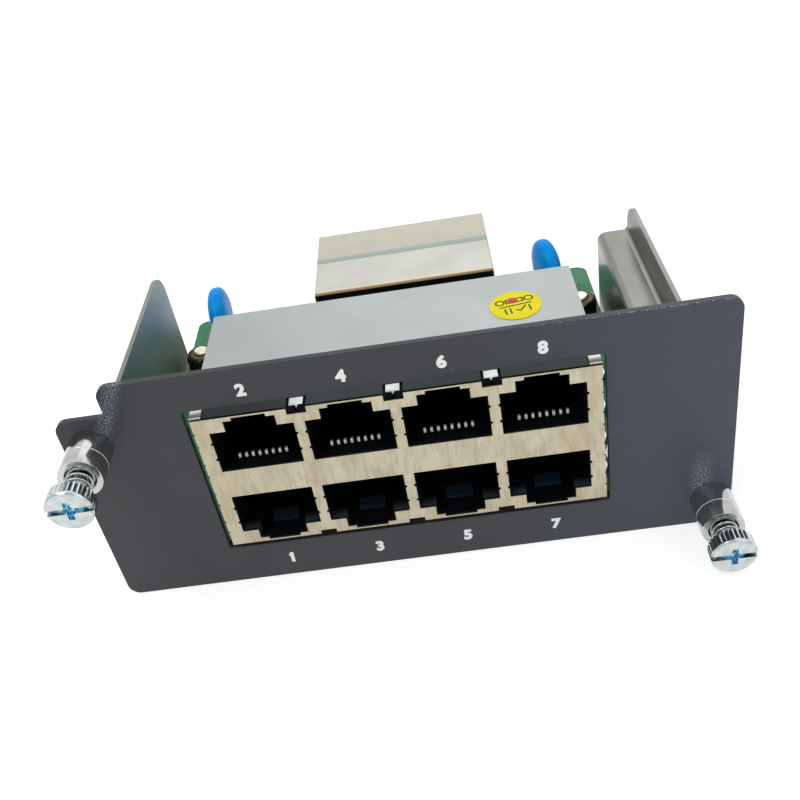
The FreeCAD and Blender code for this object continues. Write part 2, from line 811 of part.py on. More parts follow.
def make_housing():
    """The moulded housing: eight stepped cavities, latch blocks and slots for the dividers."""
    body = new_body("jack_housing")
    face_shift = (None, None, f"-{HOUSING_FRONT}")
    outline = new_sketch(body, "XZ_Plane", "housing_block", face_shift)
    add_rectangle(
        outline, f"({JACK_LEFT} + {INSET})", f"({JACK_RIGHT} - {INSET})", BOARD_TOP, HOUSING_TOP
    )
    pad(body, outline, f"Sizes.jack_depth - 2 * {INSET}", reverse=True)

    lip = "Sizes.port_lip"
    cavities = new_sketch(body, "XZ_Plane", "housing_cavities", face_shift)
    channels = new_sketch(body, "XZ_Plane", "housing_channels", face_shift)
    half_port = f"(Sizes.port_width / 2 - {lip})"
    # the upper channels are open to the shield, the lower ones keep a floor
    ends = (
        ("+", f"({JACK_TOP} + Sizes.shield_sheet)"),
        ("-", port_level("-", f"{LATCH_END} - {lip}")),
    )
    for row, latch_end in ends:
        port_outline(channels, row, lip, latch_end)
        add_rectangle(
            cavities,
            f"({FIRST_COLUMN} - {half_port})",
            f"({FIRST_COLUMN} + {half_port})",
            port_level(row, lip),
            port_level(row, f"Sizes.port_height - {lip}"),
        )
    for sketch, depth in (
        (channels, size("port_channel_depth")),
        (cavities, size("port_depth")),
    ):
        cavity = pocket(body, sketch, depth)
        line_pattern(body, cavity, "X_Axis", size("jack_columns"), size("jack_pitch"))

    floor = port_level("-", f"{LATCH_END} - {lip}")
    front = f"({HOUSING_FRONT} + Sizes.port_block_front)"
    stop = new_sketch(body, "XY_Plane", "housing_latch_block", (None, None, floor))
    add_rectangle(
        stop,
        f"({FIRST_COLUMN} - Sizes.port_block_width / 2)",
        f"({FIRST_COLUMN} + Sizes.port_block_width / 2)",
        front,
        f"({front} + Sizes.port_block_depth)",
    )
    block = pad(body, stop, size("port_block_height"))
    line_pattern(body, block, "X_Axis", size("jack_columns"), size("jack_pitch"))

    slots = new_sketch(body, "XY_Plane", "housing_divider_slots", (None, None, HOUSING_TOP))
    slot_half = "(Sizes.divider_sheet / 2 + Sizes.divider_slot_gap)"
    add_rectangle(
        slots,
        f"({FIRST_DIVIDER} - {slot_half})",
        f"({FIRST_DIVIDER} + {slot_half})",
        f"({HOUSING_FRONT} - Sizes.divider_slot_gap)",
        f"({HOUSING_FRONT} + Sizes.divider_length + 2 * Sizes.divider_slot_gap)",
    )
    depth = f"({HOUSING_TOP} - {BOARD_TOP} - Sizes.divider_foot)"
    slot = pocket(body, slots, depth)
    line_pattern(body, slot, "X_Axis", DIVIDERS, size("jack_pitch"))
    return body


def make_contacts(label, row, tail):
    """One row of spring contacts, each bent back over itself and led down through the board."""
    body = new_body(label)
    first = f"({FIRST_COLUMN} - (Sizes.contact_count - 1) * Sizes.contact_pitch / 2)"
    profile = new_sketch(body, "YZ_Plane", f"{label}_profile", (None, None, first))

    def level(distance):
        lip = "Sizes.port_web / 2 + Sizes.port_lip + Sizes.contact_rest"
        return f"({JACK_MIDDLE} {row} ({lip} + {distance}))"

    front = f"({HOUSING_FRONT} + Sizes.contact_set_back)"
    strip = "Sizes.contact_sheet"
    far, near_side = f"(Sizes.{tail} + {strip} / 2)", f"(Sizes.{tail} - {strip} / 2)"
    end = f"({BOARD_BOTTOM} - Sizes.tail_length)"
    # the tail's outer side leaves the leg's far face for the row whose leg lies above it
    above, below = (level(strip), level("0")) if row == "+" else (level("0"), level(strip))
    leg = [(far, above), (far, end), (near_side, end), (near_side, below)]
    nose = [
        (front, level("0")),
        (front, level("Sizes.contact_nose")),
        (f"({front} + Sizes.contact_reach)", level("Sizes.contact_lift")),
        (f"({front} + Sizes.contact_reach)", level(f"Sizes.contact_lift - {strip}")),
        (f"({front} + {strip})", level(f"Sizes.contact_nose - {strip}")),
        (f"({front} + {strip})", level(strip)),
    ]
    add_loop(profile, leg + (nose if row == "+" else nose[::-1]))
    wire = pad(body, profile, size("contact_width"), middle=True)
    grid_pattern(
        body,
        wire,
        ("X_Axis", size("contact_count"), size("contact_pitch")),
        ("X_Axis", size("jack_columns"), size("jack_pitch")),
    )
    return body


def make_dividers():
    """Thin plates between the columns, each with a bent tab in the shield's top notch."""
    body = new_body("shield_dividers")
    plate = new_sketch(body, "YZ_Plane", "divider_plate", (None, None, FIRST_DIVIDER))
    foot = f"({BOARD_TOP} + Sizes.divider_foot + Sizes.divider_slot_gap)"
    top = f"({HOUSING_TOP} + Sizes.divider_slot_gap)"
    add_rectangle(
        plate,
        f"({HOUSING_FRONT} + Sizes.divider_set_back)",
        f"({HOUSING_FRONT} + Sizes.divider_length)",
        foot,
        top,
    )
    blade = pad(body, plate, size("divider_sheet"), middle=True)
    crown = new_sketch(body, "XY_Plane", "divider_tab", (None, None, top))
    start = f"({JACK_FRONT} + Sizes.divider_tab_set_back)"
    add_rectangle(
        crown,
        f"({FIRST_DIVIDER} - Sizes.divider_tab_width / 2)",
        f"({FIRST_DIVIDER} + Sizes.divider_tab_width / 2)",
        start,
        f"({start} + Sizes.divider_tab_depth)",
    )
    tab = pad(body, crown, size("shield_sheet"))
    row = line_pattern(body, blade, "X_Axis", DIVIDERS, size("jack_pitch"))
    row.Originals = [blade, tab]
    doc.recompute()
    return body


# ---------------------------------------------------------------- disc capacitors
def place_capacitor(body, x, turn):
    """Stands a body on the board at a capacitor's place, turned about the vertical."""
    lift = f"({BOARD_TOP} + Sizes.capacitor_lift + Sizes.capacitor_diameter / 2)"
    body.setExpression("Placement.Base.x", x)
    body.setExpression("Placement.Base.y", f"({BOARD_REAR} - Sizes.capacitor_from_rear)")
    body.setExpression("Placement.Base.z", lift)
    body.Placement.Rotation = FreeCAD.Rotation(Vec(0, 0, 1), 1)
    body.setExpression("Placement.Rotation.Angle", turn)


def make_capacitor(side, x, turn):
    """A dipped disc capacitor and its two leads, the disc's axis across the card."""
    disc = new_body(f"{side}_capacitor")
    round_face = new_sketch(disc, "YZ_Plane", f"{side}_disc")
    add_circle(round_face, "0", "0", "(Sizes.capacitor_diameter / 2)")
    pad(disc, round_face, size("capacitor_thickness"), middle=True)
    rims = [f"Edge{index}" for index, edge in enumerate(disc.Shape.Edges, start=1)
            if edge.Curve.TypeId == "Part::GeomCircle"]
    soften(disc, "Fillet", rims, size("capacitor_round"))
    place_capacitor(disc, x, turn)

    leads = new_body(f"{side}_capacitor_leads")
    low = "(Sizes.capacitor_diameter / 2 + Sizes.capacitor_lift + Sizes.board_sheet)"
    ends = new_sketch(
        leads, "XY_Plane", f"{side}_lead_ends", (None, None, f"(-{low} - Sizes.tail_length)")
    )
    for sign in ("-", "+"):
        add_circle(ends, "0", f"({sign}Sizes.lead_spacing / 2)", size("lead_radius"))
    pad(leads, ends, f"({low} + Sizes.tail_length - Sizes.capacitor_diameter / 4)")
    place_capacitor(leads, x, turn)
    return [disc, leads]


# ---------------------------------------------------------------- backplane connector
def make_plug_housing():
    """The moulded right-angle connector that overhangs the board's rear edge."""
    body = new_body("backplane_connector_housing")
    profile = new_sketch(body, "YZ_Plane", "plug_profile", (None, None, size("plug_offset")))
    front = f"({PLUG_FRONT} + Sizes.plug_plate)"
    low_top = f"({PLUG_TOP} - Sizes.plug_plate)"
    seat = f"({BOARD_REAR} + Sizes.plug_seat_gap)"
    add_loop(
        profile,
        [
            (front, BOARD_TOP),
            (seat, BOARD_TOP),
            (seat, BOARD_BOTTOM),
            (PLUG_REAR, BOARD_BOTTOM),
            (PLUG_REAR, PLUG_TOP),
            (f"({PLUG_STEP} + Sizes.plug_bevel)", PLUG_TOP),
            (PLUG_STEP, low_top),
            (front, low_top),
        ],
    )
    pad(body, profile, size("plug_width"), middle=True)

    def mouth(edge, point):
        return near(point.y, PLUG_REAR)

    soften(body, "Chamfer", edge_names(body.Shape, mouth), size("plug_chamfer"))

    cell = new_sketch(body, "XZ_Plane", "plug_cell", (None, None, f"-{PLUG_REAR}"))
    x = "(Sizes.plug_offset - (Sizes.plug_columns - 1) * Sizes.plug_pitch / 2)"
    z = f"({BOARD_TOP} + Sizes.plug_cell_low)"
    half = "Sizes.plug_cell / 2"
    add_rectangle(cell, f"({x} - {half})", f"({x} + {half})", f"({z} - {half})", f"({z} + {half})")
    hole = pocket(body, cell, size("plug_cell_depth"), reverse=True)
    grid_pattern(
        body,
        hole,
        ("X_Axis", size("plug_columns"), size("plug_pitch")),
        ("Z_Axis", size("plug_rows"), size("plug_pitch")),
    )
    return body


def make_plug_plate():
    """The folded plate over the connector's front part."""
    body = new_body("backplane_connector_plate")
    profile = new_sketch(body, "YZ_Plane", "plug_plate_fold", (None, None, size("plug_offset")))
    low = f"({BOARD_TOP} + Sizes.plug_plate_rise)"
    under = f"({PLUG_TOP} - Sizes.plug_plate)"
    inside = f"({PLUG_FRONT} + Sizes.plug_plate)"
    add_loop(
        profile,
        [
            (PLUG_FRONT, low),
            (inside, low),
            (inside, under),
            (PLUG_STEP, under),
            (PLUG_STEP, PLUG_TOP),
            (PLUG_FRONT, PLUG_TOP),
        ],
    )
    width = "Sizes.plug_width - 2 * Sizes.plug_plate_margin"
    pad(body, profile, width, middle=True)

    def fold(edge, point):
        at_fold = near(point.y, PLUG_FRONT) and near(point.z, PLUG_TOP)
        return runs_along(edge, Vec(1, 0, 0)) and at_fold

    soften(body, "Fillet", edge_names(body.Shape, fold), "Sizes.plug_plate * 0.9")
    return body


def make_plug_pins():
    """The rows of pressed pins that stand through the board."""
    body = new_body("backplane_connector_pins")
    end = f"({BOARD_BOTTOM} - Sizes.tail_length)"
    pin = new_sketch(body, "XY_Plane", "plug_pin", (None, None, end))
    x = "(Sizes.plug_offset - (Sizes.plug_columns - 1) * Sizes.plug_pitch / 2)"
    y = f"({PLUG_FRONT} + Sizes.plug_pin_front)"
    half = "Sizes.plug_pin / 2"
    add_rectangle(pin, f"({x} - {half})", f"({x} + {half})", f"({y} - {half})", f"({y} + {half})")
    length = "Sizes.tail_length + Sizes.board_sheet + Sizes.plug_pin_root"
    post = pad(body, pin, length)
    grid_pattern(
        body,
        post,
        ("X_Axis", size("plug_columns"), size("plug_pitch")),
        ("Y_Axis", size("plug_rows"), size("plug_pitch")),
    )
    return body


# ---------------------------------------------------------------- parts on the board and jack
def make_chip():
    """The interface chip in front of the connector."""
    body = new_body("interface_chip")
    outline = new_sketch(body, "XY_Plane", "chip_outline", (None, None, BOARD_TOP))
    rear = f"({PLUG_FRONT} - Sizes.chip_rear_gap)"
    half = "Sizes.chip_side / 2"
    middle = size("plug_offset")
    add_rectangle(
        outline, f"({middle} - {half})", f"({middle} + {half})",
        f"({rear} - Sizes.chip_side)", rear,
    )
    pad(body, outline, size("chip_height"))

    def top(edge, point):
        return near(point.z, f"({BOARD_TOP} + Sizes.chip_height)")

    soften(body, "Chamfer", edge_names(body.Shape, top), size("part_chamfer"))
    return body


def make_transformers():
    """The line transformers in a row behind the jack."""
    body = new_body("line_transformers")
    outline = new_sketch(body, "XY_Plane", "transformer_outline", (None, None, BOARD_TOP))
    x = "(Sizes.jack_offset - (Sizes.transformer_count - 1) * Sizes.transformer_pitch / 2)"
    front = f"({JACK_REAR} + Sizes.transformer_gap)"
    half = "Sizes.transformer_width / 2"
    add_rectangle(
        outline, f"({x} - {half})", f"({x} + {half})",
        front, f"({front} + Sizes.transformer_depth)",
    )
    pad(body, outline, size("transformer_height"))

    def top(edge, point):
        return near(point.z, f"({BOARD_TOP} + Sizes.transformer_height)")

    soften(body, "Chamfer", edge_names(body.Shape, top), size("part_chamfer"))
    pattern = body.newObject("PartDesign::LinearPattern", "transformer_row")
    pattern.TransformMode = "Whole shape"
    pattern.Direction = (origin_part(body, "X_Axis"), [""])
    pattern.setExpression("Occurrences", size("transformer_count"))
    pattern.setExpression(
        "Length", "(Sizes.transformer_count - 1) * Sizes.transformer_pitch"
    )
    body.Tip = pattern
    doc.recompute()
    return body


def make_sticker():
    """The round paper sticker on top of the shield."""
    body = new_body("inspection_sticker")
    disc = new_sketch(body, "XY_Plane", "sticker_disc", (None, None, JACK_TOP))
    x = f"({JACK_RIGHT} - Sizes.sticker_right)"
    y = f"({JACK_FRONT} + Sizes.sticker_back)"
    add_circle(disc, x, y, "(Sizes.sticker_diameter / 2)")
    pad(body, disc, size("sticker_sheet"))
    return body


# ---------------------------------------------------------------- captive screws
def make_retainer(side, place):
    """The turned ferrule pressed into the panel, with a collar that keeps the screw."""
    body = new_body(f"{side}_retainer")
    x, z = place
    profile = new_sketch(body, "XY_Plane", f"{side}_retainer_profile", (x, None, z))
    outer, edge = size("retainer_radius"), "Sizes.retainer_edge"
    groove = f"({PANEL_FRONT} - Sizes.retainer_groove)"
    cut = "Sizes.retainer_groove_depth"
    rear_bore = "(Sizes.screw_thread + Sizes.running_gap)"
    neck_bore = "(Sizes.screw_neck + Sizes.running_gap)"
    add_loop(
        profile,
        [
            (size("retainer_bore"), RETAINER_RIM),
            (f"({outer} - {edge})", RETAINER_RIM),
            (outer, f"({RETAINER_RIM} + {edge})"),
            (outer, f"({groove} - {cut})"),
            (f"({outer} - {cut})", groove),
            (outer, f"({groove} + {cut})"),
            (outer, PANEL_FRONT),
            (size("retainer_spigot"), PANEL_FRONT),
            (size("retainer_spigot"), "0"),
            (rear_bore, "0"),
            (rear_bore, COLLAR_REAR),
            (neck_bore, COLLAR_REAR),
            (neck_bore, COLLAR_FRONT),
            (size("retainer_bore"), COLLAR_FRONT),
        ],
    )
    revolve(body, profile)
    return body


def make_thumbscrew(side, place, reach):
    """The knurled captive screw: slotted and cross-cut head, neck and thread."""
    body = new_body(f"{side}_thumbscrew")
    x, z = place
    back = f"({RETAINER_RIM} - {reach})"
    face = f"({back} - Sizes.head_thickness)"
    profile = new_sketch(body, "XY_Plane", f"{side}_screw_profile", (x, None, z))
    head, edge = size("head_radius"), "Sizes.head_edge"
    neck, thread, tip = size("screw_neck"), size("screw_thread"), "Sizes.screw_tip"
    end = "(-Sizes.screw_set_back)"
    shoulder = f"({COLLAR_REAR} + Sizes.running_gap)"
    add_loop(
        profile,
        [
            ("0", face),
            (f"({head} - {edge})", face),
            (head, f"({face} + {edge})"),
            (head, back),
            (neck, back),
            (neck, shoulder),
            (thread, shoulder),
            (thread, f"({end} - {tip})"),
            (f"({thread} - {tip})", end),
            ("0", end),
        ],
    )
    revolve(body, profile)

    notch = new_sketch(body, "XZ_Plane", f"{side}_knurl_notch", (None, None, f"-{back}"))
    root = f"({x} + {head} - Sizes.knurl_depth)"
    rim = f"({x} + {head} + Sizes.knurl_depth)"
    width = "Sizes.knurl_width"
    add_loop(notch, [(root, z), (rim, f"({z} - {width})"), (rim, f"({z} + {width})")])
    tooth = pocket(body, notch, "Sizes.head_thickness - Sizes.knurl_rim", reverse=True)
    ring = body.newObject("PartDesign::PolarPattern", f"{side}_knurl")
    ring.Originals = [tooth]
    ring.Axis = (profile, ["V_Axis"])
    ring.Angle = 360
    ring.setExpression("Occurrences", size("knurl_count"))
    body.Tip = ring
    doc.recompute()

    for name, half_x, half_z, depth in (
        ("slot", f"({head} + {edge})", "(Sizes.slot_width / 2)", size("slot_depth")),
        ("cross", "(Sizes.slot_width / 2)", "(Sizes.cross_length / 2)", size("cross_depth")),
    ):
        recess = new_sketch(body, "XZ_Plane", f"{side}_{name}", (None, None, f"-{face}"))
        add_rectangle(
            recess,
            f"({x} - {half_x})", f"({x} + {half_x})",
            f"({z} - {half_z})", f"({z} + {half_z})",
        )
        pocket(body, recess, depth)

    cone = new_sketch(body, "XY_Plane", f"{side}_recess_cone", (x, None, z))
    add_loop(
        cone,
        [
            ("0", face),
            ("0", f"({face} + Sizes.cross_cone_depth)"),
            (size("cross_cone_radius"), face),
        ],
    )
    groove(body, cone)
    return body


def make_spring(side, place, reach):
    """The coil spring round the screw's neck, from the collar to the back of the head."""
    x, z = (number(expression) for expression in place)
    seat = number(size("spring_seat"))
    wire = number(size("spring_wire"))
    first = number(COLLAR_FRONT) - seat - wire / 2
    last = number(f"({RETAINER_RIM} - {reach})") + seat + wire / 2
    turns, per_turn = int(number(size("spring_turns"))), int(number(size("spring_segments")))
    steps = turns * per_turn
    radius = number(size("spring_radius"))

    def on_coil(step):
        angle = 2 * math.pi * step / per_turn
        y = first + (last - first) * step / steps
        return Vec(x + radius * math.cos(angle), y, z + radius * math.sin(angle))

    points = [on_coil(step) for step in range(steps + 1)]
    path = Part.makePolygon(points)
    along = (points[1] - points[0]).normalize()
    outward = along.cross(Vec(0, 1, 0)).normalize()
    upward = along.cross(outward).normalize()
    sides = 6
    ring = []
    for corner in range(sides):
        turn = 2 * math.pi * corner / sides
        ring.append(
            points[0] + outward * (wire / 2 * math.cos(turn)) + upward * (wire / 2 * math.sin(turn))
        )
    section = Part.makePolygon(ring + ring[:1])
    mitred = 1
    feature = doc.addObject("Part::Feature", f"{side}_spring")
    feature.Shape = path.makePipeShell([section], True, False, mitred)
    feature.Label = f"{side}_spring"
    feature.Placement = FreeCAD.Placement()
    return feature


# ---------------------------------------------------------------- the whole card
def build():
    """Makes every piece of the card."""
    parts = [
        make_front_panel(),
        make_tray(),
        make_board(),
        make_studs(),
        make_spacers(),
        make_nuts(),
        make_shield(),
        make_housing(),
        make_contacts("upper_port_contacts", "+", "upper_tail"),
        make_contacts("lower_port_contacts", "-", "lower_tail"),
        make_dividers(),
        make_plug_housing(),
        make_plug_plate(),
        make_plug_pins(),
        make_chip(),
        make_transformers(),
        make_sticker(),
    ]
    parts += make_capacitor(
        "left", f"({BOARD_LEFT} + Sizes.left_capacitor_inset)", size("left_capacitor_turn")
    )
    parts += make_capacitor(
        "right", f"({BOARD_RIGHT} - Sizes.right_capacitor_inset)", size("right_capacitor_turn")
    )
    for side, place in (("left", LEFT_SCREW), ("right", RIGHT_SCREW)):
        reach = size(f"{side}_reach")
        parts.append(make_retainer(side, place))
        parts.append(make_spring(side, place, reach))
        parts.append(make_thumbscrew(side, place, reach))
    doc.recompute()
    return parts


def check(parts):
    """Stops if any object failed or any piece is empty or invalid."""
    for item in doc.Objects:
        if "Invalid" in item.State or "Error" in item.State:
            raise RuntimeError(f"{item.Name} did not compute")
    for part in parts:
        if part.Shape.isNull() or not part.Shape.isValid() or part.Shape.Volume <= 0:
            raise RuntimeError(f"{part.Label} has no valid solid")


def export(parts):
    """Writes one STEP file for each piece."""
    os.makedirs("parts", exist_ok=True)
    for part in parts:
        part.Shape.exportStep(f"parts/{part.Label}.step")
        print(f"{part.Label}: {len(part.Shape.Solids)} solids, {part.Shape.Volume:.2f} mm3")


pieces = build()
check(pieces)
export(pieces)
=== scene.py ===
"""Finishes and fine detail of a switch line card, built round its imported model.

Lengths are in metres in the card's own frame: X to the right along the front panel, Y back into the
chassis and Z up, with the origin at the foot of the panel's rear face.
"""

import json
import logging
import math
from dataclasses import dataclass
from enum import Enum
from typing import Sequence

import bmesh
import bpy
from mathutils import Matrix, Vector


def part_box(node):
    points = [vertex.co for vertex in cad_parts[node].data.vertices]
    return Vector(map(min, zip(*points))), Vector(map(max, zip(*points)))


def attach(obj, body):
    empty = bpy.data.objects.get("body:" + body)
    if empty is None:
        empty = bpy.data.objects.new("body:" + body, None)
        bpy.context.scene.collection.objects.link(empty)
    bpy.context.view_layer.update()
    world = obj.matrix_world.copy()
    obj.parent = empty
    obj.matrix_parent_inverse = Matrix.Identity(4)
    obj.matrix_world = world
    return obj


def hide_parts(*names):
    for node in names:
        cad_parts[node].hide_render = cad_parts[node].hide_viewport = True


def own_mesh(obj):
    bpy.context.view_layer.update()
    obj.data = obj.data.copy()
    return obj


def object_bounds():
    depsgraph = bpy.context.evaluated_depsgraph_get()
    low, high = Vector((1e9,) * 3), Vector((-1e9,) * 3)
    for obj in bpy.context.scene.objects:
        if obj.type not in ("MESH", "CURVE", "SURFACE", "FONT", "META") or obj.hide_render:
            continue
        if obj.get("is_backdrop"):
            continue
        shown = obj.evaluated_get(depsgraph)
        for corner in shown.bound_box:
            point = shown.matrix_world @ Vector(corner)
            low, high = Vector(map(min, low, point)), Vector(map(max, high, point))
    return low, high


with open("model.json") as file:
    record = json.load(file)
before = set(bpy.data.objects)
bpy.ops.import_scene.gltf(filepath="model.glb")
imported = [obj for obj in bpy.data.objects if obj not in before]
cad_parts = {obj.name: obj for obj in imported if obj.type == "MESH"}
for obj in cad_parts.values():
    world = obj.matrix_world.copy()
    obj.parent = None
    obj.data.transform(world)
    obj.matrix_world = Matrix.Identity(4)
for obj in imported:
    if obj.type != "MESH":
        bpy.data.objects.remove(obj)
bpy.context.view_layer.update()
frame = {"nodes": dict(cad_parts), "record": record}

MM = 0.001
HAIR = 0.05 * MM
FALLING = (1.0, 0.0)
PRINCIPLED = "Principled BSDF"
LOG = logging.getLogger("line_card")
Colour = tuple[float, float, float, float]
Pair = tuple[float, float]
Shape = bmesh.types.BMesh
Socket = bpy.types.NodeSocket
Value = Socket | float | Sequence[float]
NODE_BODY: dict[str, str] = {
    node: body
    for body, nodes in frame["record"]["behaviour"]["bodies"].items()
    for node in nodes
}
MADE: dict[str, bpy.types.Material] = {}


class Axis(Enum):
    """A direction of the card's frame."""

    RIGHT = (1.0, 0.0, 0.0)
    LEFT = (-1.0, 0.0, 0.0)
    FORWARD = (0.0, -1.0, 0.0)
    BACK = (0.0, 1.0, 0.0)
    UP = (0.0, 0.0, 1.0)
    DOWN = (0.0, 0.0, -1.0)


def srgb(red: int, green: int, blue: int) -> Colour:
    """A linear colour from three display values.

    Args:
        red: display red, 0 to 255.
        green: display green, 0 to 255.
        blue: display blue, 0 to 255.

    Returns:
        The linear colour with an alpha of one.
    """

    def linear(value: int) -> float:
        share = value / 255
        return share / 12.92 if share <= 0.04045 else ((share + 0.055) / 1.055) ** 2.4

    return linear(red), linear(green), linear(blue), 1.0


# ------------------------------------------------------------------------------ material nodes
class Graph:
    """The nodes of a material or a world, with short ways to add and join them."""

    def __init__(self, owner: bpy.types.Material | bpy.types.World, shader: str) -> None:
        """Starts from the shader that a new material or world holds."""
        owner.use_nodes = True
        self.owner = owner
        self.nodes, self.links = owner.node_tree.nodes, owner.node_tree.links
        self.shader = self.nodes[shader]
        coordinates = self.add("TexCoord").outputs
        self.spot, self.normal = coordinates["Object"], coordinates["Normal"]

    def wire(self, node: bpy.types.Node, inputs: dict[str | int, Value]) -> bpy.types.Node:
        """Joins a node's inputs to outputs, or sets them to plain values."""
        for name, value in inputs.items():
            if isinstance(value, Socket):
                self.links.new(value, node.inputs[name])
            else:
                node.inputs[name].default_value = value
        return node

    def add(
        self, kind: str, inputs: dict[str | int, Value] | None = None, **settings: str | bool
    ) -> bpy.types.Node:
        """Adds a node.

        Args:
            kind: its kind, without the usual first part of the name.
            inputs: what its inputs are joined to or set to.
            settings: its properties.

        Returns:
            The node.
        """
        node = self.nodes.new(f"ShaderNode{kind}")
        for name, setting in settings.items():
            setattr(node, name, setting)
        return self.wire(node, inputs or {})

    def place(self, stretch: Sequence[float], lean: float = 0.0) -> Socket:
        """Object coordinates, turned about Y and then scaled along each axis."""
        turn = (0.0, lean, 0.0)
        node = self.add("Mapping", {"Vector": self.spot, "Scale": stretch, "Rotation": turn})
        return node.outputs["Vector"]

    def noise(
        self,
        size: float,
        detail: float = 3.0,
        stretch: Sequence[float] = (1, 1, 1),
        lean: float = 0.0,
    ) -> Socket:
        """Noise whose cells are about a given size.

        Args:
            size: the cell size in metres.
            detail: how many finer octaves it holds.
            stretch: how much the cells shrink along each axis.
            lean: how far it leans in the panel's plane, in radians.

        Returns:
            The noise's value.
        """
        inputs = {"Scale": 1 / size, "Detail": detail, "Vector": self.place(stretch, lean)}
        return self.add("TexNoise", inputs).outputs["Fac"]

    def cells(self, size: float, distance: str = "EUCLIDEAN", output: str = "Color") -> Socket:
        """Random cells of about a given size, in metres."""
        inputs = {"Scale": 1 / size, "Vector": self.place((1, 1, 1))}
        return self.add("TexVoronoi", inputs, distance=distance).outputs[output]

    def span(self, value: Socket, source: Pair, target: Pair = (0.0, 1.0)) -> Socket:
        """Maps a value from one range to another and clamps it."""
        ends = zip(("From Min", "From Max", "To Min", "To Max"), (*source, *target))
        return self.add("MapRange", {**dict(ends), "Value": value}).outputs["Result"]

    def mix(self, share: Socket, first: Value, second: Value) -> Socket:
        """Mixes two colours, the share being how much of the second there is."""
        return self.add("Mix", {0: share, 6: first, 7: second}, data_type="RGBA").outputs[2]

    def blend(self, share: Socket, first: Value, second: Value) -> Socket:
        """Mixes two numbers in the same way."""
        return self.add("Mix", {0: share, 2: first, 3: second}, data_type="FLOAT").outputs[0]

    def math(self, operation: str, first: Value, second: Value, clamp: bool = False) -> Socket:
        """A sum, product or other operation on two values."""
        node = self.add("Math", {0: first, 1: second}, operation=operation, use_clamp=clamp)
        return node.outputs["Value"]

    def product(self, first: Socket, *others: Value) -> Socket:
        """The product of several values."""
        total = first
        for other in others:
            total = self.math("MULTIPLY", total, other)
        return total

    def vector(self, operation: str, first: Socket, second: Sequence[float]) -> bpy.types.Node:
        """An operation on two vectors."""
        return self.add("VectorMath", {0: first, 1: second}, operation=operation)

    def dot(self, vector: Socket, axis: Sequence[float]) -> Socket:
        """A vector's share along an axis."""
        return self.vector("DOT_PRODUCT", vector, axis).outputs["Value"]

    def facing(self, axis: Axis, low: float = 0.6, high: float = 0.9) -> Socket:
        """One where the surface faces along an axis, and none elsewhere."""
        return self.span(self.dot(self.normal, axis.value), (low, high))

    def along(self, axis: Axis, start: float, end: float) -> Socket:
        """Rises from none to one between two places along an axis."""
        return self.span(self.dot(self.spot, axis.value), (start, end))

    def between(self, axis: Axis, start: float, end: float, fade: float = HAIR) -> Socket:
        """One between two places along an axis, fading outside them."""
        place = self.dot(self.spot, axis.value)
        rise = self.span(place, (start - fade, start))
        return self.product(rise, self.span(place, (end, end + fade), FALLING))

    def within(self, centre: Vector, reach: float) -> Socket:
        """One inside a round bar along Y.

        Args:
            centre: a point on the bar's middle line.
            reach: the bar's radius.

        Returns:
            The mask.
        """
        offset = self.vector("SUBTRACT", self.spot, centre).outputs["Vector"]
        flat = self.vector("MULTIPLY", offset, (1.0, 0.0, 1.0)).outputs["Vector"]
        length = self.add("VectorMath", {0: flat}, operation="LENGTH")
        return self.span(length.outputs["Value"], (reach * 0.97, reach), FALLING)

    def bump(self, height: Socket, depth: float) -> Socket:
        """The normal of a surface raised by a height times a depth in metres."""
        return self.add("Bump", {"Distance": depth, "Height": height}).outputs["Normal"]

    def seen(self) -> Socket:
        """One for rays that show the surround: straight, mirrored or refracted."""
        path = self.add("LightPath").outputs
        total = path["Is Camera Ray"]
        for name in ("Is Glossy Ray", "Is Transmission Ray"):
            total = self.math("ADD", total, path[name], clamp=True)
        return total


@dataclass(frozen=True)
class Finish:
    """A surface with mottled colour, uneven gloss and a fine grain.

    Its texture is the size of the mottling, and the size and the depth of the grain, in
    millimetres.
    """

    name: str
    colour: Colour
    shade: Colour
    roughness: Pair
    texture: tuple[float, float, float]
    metallic: float = 0.0
    stretch: tuple[float, float, float] = (1.0, 1.0, 1.0)
    coat: float = 0.0
    coat_roughness: float = 0.08
    specular: float = 0.5

    def tone(self, graph: Graph) -> Socket:
        """The surface's colour."""
        mottling = graph.noise(self.texture[0] * MM, 4.0, self.stretch)
        return graph.mix(graph.span(mottling, (0.35, 0.7)), self.colour, self.shade)

    def gloss(self, graph: Graph) -> Socket:
        """The surface's roughness."""
        drift = graph.noise(self.texture[0] * MM * 0.7, 5.0, self.stretch)
        return graph.span(drift, (0.35, 0.65), self.roughness)

    def relief(self, graph: Graph) -> Socket:
        """The surface's fine grain."""
        return graph.noise(self.texture[1] * MM, 3.0, self.stretch)

    def build(self) -> bpy.types.Material:
        """Makes the material, once for each finish."""
        if self.name not in MADE:
            graph = Graph(bpy.data.materials.new(self.name), PRINCIPLED)
            MADE[self.name] = graph.owner
            graph.wire(graph.shader, {
                "Base Color": self.tone(graph),
                "Roughness": self.gloss(graph),
                "Metallic": self.metallic,
                "Coat Weight": self.coat,
                "Coat Roughness": self.coat_roughness,
                "Specular IOR Level": self.specular,
                "Normal": graph.bump(self.relief(graph), self.texture[2] * MM),
            })
        return MADE[self.name]


